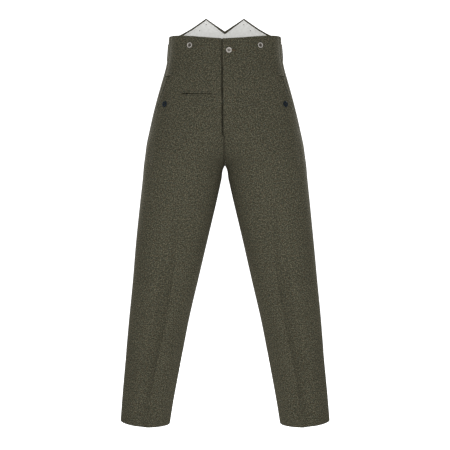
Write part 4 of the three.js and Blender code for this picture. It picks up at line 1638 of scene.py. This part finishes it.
@dataclass
class Buttons:
    """Dished metal buttons for fly and braces, and dark ones on the pockets."""

    finishes: Finishes
    metal: ButtonShape = ButtonShape(7.9 * MM, 2.6 * MM, 1.5 * MM, 4.5 * MM, 1.1 * MM)
    dark: ButtonShape = ButtonShape(8.5 * MM, 3.0 * MM, 1.8 * MM, 5.4 * MM, 0.8 * MM)

    WAIST = (11 * MM, -34 * MM)
    FRONT_BRACE = (99 * MM, -17 * MM)
    BACK_BRACES = ((57 * MM, 79 * MM), (77 * MM, 60 * MM))
    POCKET = (170 * MM, -180 * MM)

    def build(self) -> None:
        """Builds every button and the buttonhole beside the fly's."""
        metal, dark = self.disc(self.metal), self.disc(self.dark)
        threads = Sewing()
        self.sew_on("waist_button", metal, self.metal, Side.LEFT, FRONT, self.WAIST,
                    self.finishes.waist_button, Slot.METAL, threads)
        for side in Side:
            self.sew_on(f"brace_button_front_{side.word}", metal, self.metal, side, FRONT,
                        self.FRONT_BRACE, self.finishes.button, Slot.METAL, threads)
            for word, at in zip(("inner", "outer"), self.BACK_BRACES):
                self.sew_on(f"brace_button_back_{word}_{side.word}", metal, self.metal, side, BACK,
                            at, self.finishes.button, Slot.METAL, threads)
            self.sew_on(f"pocket_button_{side.word}", dark, self.dark, side, FRONT, self.POCKET,
                        self.finishes.dark, Slot.DARK, threads)
        threads.finish("button_threads", self.finishes.wool_thread, Slot.WOOL)
        self.buttonhole()

    @staticmethod
    def disc(shape: ButtonShape) -> bpy.types.Mesh:
        """Turns a button's profile round its axis and drills its four holes.

        Args:
            shape: The button's sizes.

        Returns:
            Its mesh, with its back at height 0.
        """
        bm = bmesh.new()
        radius, thick, rim = shape.radius, shape.thick, shape.rim
        floor = thick - shape.depth
        profile = [
            (0, 0), (radius - rim, 0), (radius - rim * 0.3, thick * 0.16), (radius, thick * 0.45),
            (radius - rim * 0.12, thick * 0.76), (radius - rim * 0.5, thick * 0.96),
            (radius - rim, thick), (radius - rim * 1.5, thick * 0.97),
            (shape.dish + 0.5 * MM, floor + 0.35 * shape.depth), (shape.dish, floor + 0.12 * shape.depth),
            (shape.dish * 0.8, floor), (0, floor),
        ]
        verts = [bm.verts.new((r, 0, h)) for r, h in profile]
        edges = [bm.edges.new(pair) for pair in zip(verts, verts[1:])]
        bmesh.ops.spin(bm, geom=[*verts, *edges], cent=(0, 0, 0), axis=(0, 0, 1),
                       angle=math.tau, steps=48, use_merge=True)
        bmesh.ops.remove_doubles(bm, verts=bm.verts[:], dist=0.01 * MM)
        bmesh.ops.recalc_face_normals(bm, faces=bm.faces[:])
        body = bpy.data.meshes.new("button_disc")
        bm.to_mesh(body)
        bm.free()
        drill = bmesh.new()
        for k in range(4):
            turn = math.radians(45 + 90 * k)
            place = (shape.spread * math.cos(turn), shape.spread * math.sin(turn), thick / 2)
            bmesh.ops.create_cone(drill, cap_ends=True, segments=16, radius1=shape.hole,
                                  radius2=shape.hole, depth=thick * 2,
                                  matrix=Matrix.Translation(place))
        cutter = bpy.data.meshes.new("button_drill")
        drill.to_mesh(cutter)
        drill.free()
        objects = [bpy.data.objects.new(mesh.name, mesh) for mesh in (body, cutter)]
        for obj in objects:
            bpy.context.scene.collection.objects.link(obj)
        cut = objects[0].modifiers.new("Holes", "BOOLEAN")
        cut.operation = "DIFFERENCE"
        cut.object = objects[1]
        drilled = bpy.data.meshes.new_from_object(
            objects[0].evaluated_get(bpy.context.evaluated_depsgraph_get())
        )
        for obj in objects:
            bpy.data.objects.remove(obj)
        return drilled

    def sew_on(self, name: str, disc: bpy.types.Mesh, shape: ButtonShape, side: Side, face: Face,
               at: tuple[float, float], material: bpy.types.Material, slot: Slot,
               threads: Sewing) -> None:
        """Puts a button on the cloth and its thread through the holes.

        Args:
            name: The CAD node that it stands for.
            disc: The button's mesh.
            shape: Its sizes.
            side: The half that it is on.
            face: Front or back.
            at: Place across and height.
            material: Its finish.
            slot: The record's slot.
            threads: Where its thread goes.
        """
        place, facing = CLOTH[side].over(face, np.array(at[0]), np.array(at[1]))
        seat = seat_matrix(place + facing * CLEAR, facing)
        bm = bmesh.new()
        bm.from_mesh(disc)
        # Marks the dish as hollow, where the metal's material paints shade.
        hollow = bm.verts.layers.float.new("hollow")
        for vert in bm.verts:
            inside = math.hypot(vert.co.x, vert.co.y) < shape.dish + 0.7 * MM
            vert[hollow] = 1.0 if inside and vert.co.z > 0.3 * shape.thick else 0.0
        bmesh.ops.transform(bm, matrix=seat, verts=bm.verts[:])
        dress(new_object(f"{name}_disc", bm, material), slot, name)
        floor = shape.thick - shape.depth
        for turn in (45, 135):
            along = Vector((math.cos(math.radians(turn)), math.sin(math.radians(turn)), 0))
            middle = seat @ Vector((0, 0, floor + (0.25 if turn == 45 else 0.5) * MM))
            threads.one(middle, (seat.to_3x3() @ along), facing, 2 * shape.spread + 1.6 * MM,
                        0.62 * MM)
        shank = seat @ Vector((0, 0, -0.1 * MM))
        threads.one(shank, facing, seat.to_3x3() @ Vector((1, 0, 0)), 1.0 * MM, 2.2 * MM)

    def buttonhole(self) -> None:
        """Works the buttonhole that the waist button stands in, with brown twist."""
        sewing = Sewing()
        start, end = self.WAIST[0] + 6 * MM, self.WAIST[0] + 19.5 * MM
        stitches = 22
        for k in range(stitches):
            x = lerp(start, end, (k + 0.5) / stitches)
            for way in (-1, 1):
                z = self.WAIST[1] + way * 1.25 * MM
                place, facing = CLOTH[Side.LEFT].over(FRONT, np.array(x), np.array(z), np.array(0.2 * MM))
                sewing.one(place, np.array((0.15, 0, 1.0)), facing, 2.1 * MM, 0.36 * MM)
        place, facing = CLOTH[Side.LEFT].over(
            FRONT, np.array(end + 0.6 * MM), np.array(self.WAIST[1]), np.array(0.25 * MM)
        )
        for k in range(5):
            turn = math.radians(-60 + 30 * k)
            ray = np.array((math.cos(turn), 0, math.sin(turn)))
            sewing.one(place + ray * 0.9 * MM, ray, facing, 2.1 * MM, 0.36 * MM)
        sewing.finish("waist_buttonhole", self.finishes.brown_thread, Slot.WOOL)


# ---- Studio ---------------------------------------------------------------------------------


@dataclass
class Studio:
    """White floor and backdrop, soft lights before, below and behind, and one over the waist."""

    camera_at: tuple[float, float, float] = (0.0, -3.0, -0.522)
    view_width: float = 1.305  # what the frame takes in at the garment's middle plane
    sensor: float = 36.0
    floor_at: float = -1.25
    key_power: float = 7.8
    low_power: float = 2.5
    side_power: float = 9.5
    rear_power: float = 22.0
    waist_power: float = 0.068
    fill: float = 0.54

    def build(self) -> None:
        """Builds camera, floor, lights and world."""
        self.camera()
        self.floor()
        middle = (0.0, 0.0, -0.5)
        self.area("key_light", (0.0, -1.6, -0.02), (0.0, 0.0, -0.08), (1.0, 0.8), self.key_power)
        self.area("low_light", (0.0, -0.85, -0.92), (0.0, 0.0, -0.92), (0.2, 0.8), self.low_power)
        self.area("rear_light", (0.0, 2.9, -0.2), middle, (1.6, 2.0), self.rear_power)
        for word, way in (("right", -1), ("left", 1)):
            self.area(f"side_light_{word}", (0.73 * way, 0.64, 0.0), (0.21 * way, 0.0, -0.22),
                      (0.3, 0.3), self.side_power)
        self.area("waist_light", (-0.09, -0.02, 0.2), (0.0, 0.1, 0.05), (0.2, 0.1), self.waist_power)
        self.world()
        bpy.context.scene.view_settings.view_transform = "Standard"

    def camera(self) -> None:
        """Builds the camera at the photograph's height, distance and framing."""
        data = bpy.data.cameras.new("photo_camera")
        data.sensor_width = self.sensor
        data.lens = self.sensor * abs(self.camera_at[1]) / self.view_width
        camera = bpy.data.objects.new("photo_camera", data)
        camera.location = self.camera_at
        camera.rotation_euler = (math.radians(90), 0, 0)
        bpy.context.scene.collection.objects.link(camera)
        bpy.context.scene.camera = camera

    def floor(self) -> None:
        """Builds the white floor, which runs up into the backdrop."""
        bm = bmesh.new()
        line = [(-9.0, self.floor_at), (6.0, self.floor_at)]
        for k in range(1, 9):
            turn = math.radians(90 * k / 8)
            line.append((6.0 + 2.0 * math.sin(turn), self.floor_at + 2.0 * (1 - math.cos(turn))))
        line.append((8.0, 9.0))
        verts = [bm.verts.new((-9.0, y, z)) for y, z in line]
        edges = [bm.edges.new(pair) for pair in zip(verts, verts[1:])]
        made = bmesh.ops.extrude_edge_only(bm, edges=edges)
        far = [v for v in made["geom"] if isinstance(v, bmesh.types.BMVert)]
        bmesh.ops.translate(bm, vec=(18.0, 0, 0), verts=far)
        bmesh.ops.recalc_face_normals(bm, faces=bm.faces[:])
        material, tree, shader = new_material("white_paper")
        shader.inputs["Base Color"].default_value = linear("#f4f4f4")
        shader.inputs["Roughness"].default_value = 1.0
        shader.inputs["Emission Color"].default_value = linear("#ffffff")
        shader.inputs["Emission Strength"].default_value = 1.0
        floor = new_object("studio_floor", bm, material)
        floor.visible_diffuse = False
        floor.visible_glossy = False

    @staticmethod
    def area(name: str, place: tuple[float, float, float], aim: tuple[float, float, float],
             size: tuple[float, float], power: float) -> None:
        """Adds a soft light.

        Args:
            name: Its name.
            place: Where it stands.
            aim: The point that it faces.
            size: Its width and height.
            power: Its power in watts.
        """
        data = bpy.data.lights.new(name, "AREA")
        data.shape = "RECTANGLE"
        data.size, data.size_y = size
        data.energy = power
        light = bpy.data.objects.new(name, data)
        light.location = place
        toward = Vector(aim) - Vector(place)
        light.rotation_euler = toward.to_track_quat("-Z", "Y").to_euler()
        light.visible_camera = False
        bpy.context.scene.collection.objects.link(light)

    def world(self) -> None:
        """White behind the garment, with a dim even fill as its light."""
        world = bpy.data.worlds.new("studio")
        world.use_nodes = True
        tree = world.node_tree
        tree.nodes.clear()
        seen = add_node(tree, "ShaderNodeBackground", {"Color": (1, 1, 1, 1), "Strength": 1.0})
        fill = add_node(tree, "ShaderNodeBackground", {"Color": (1, 1, 1, 1), "Strength": self.fill})
        path = add_node(tree, "ShaderNodeLightPath")
        mixed = add_node(
            tree, "ShaderNodeMixShader",
            {0: path.outputs["Is Camera Ray"], 1: fill.outputs[0], 2: seen.outputs[0]},
        )
        add_node(tree, "ShaderNodeOutputWorld", {"Surface": mixed.outputs[0]})
        bpy.context.scene.world = world


def write_sizes() -> None:
    """Brings the view layer up to date."""
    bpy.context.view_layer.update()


def main() -> None:
    """Builds the garment and the studio in order."""
    logging.basicConfig(level=logging.INFO, format="%(message)s")
    finishes = Finishes.make()
    Studio().build()
    lips = WatchPocket(finishes).build()
    Panels(finishes).build(lips)
    FishtailLining(finishes).build()
    SidePockets(finishes).build()
    Cinch(finishes).build()
    Buttons(finishes).build()
    write_sizes()


if __name__ == "__main__":
    main()
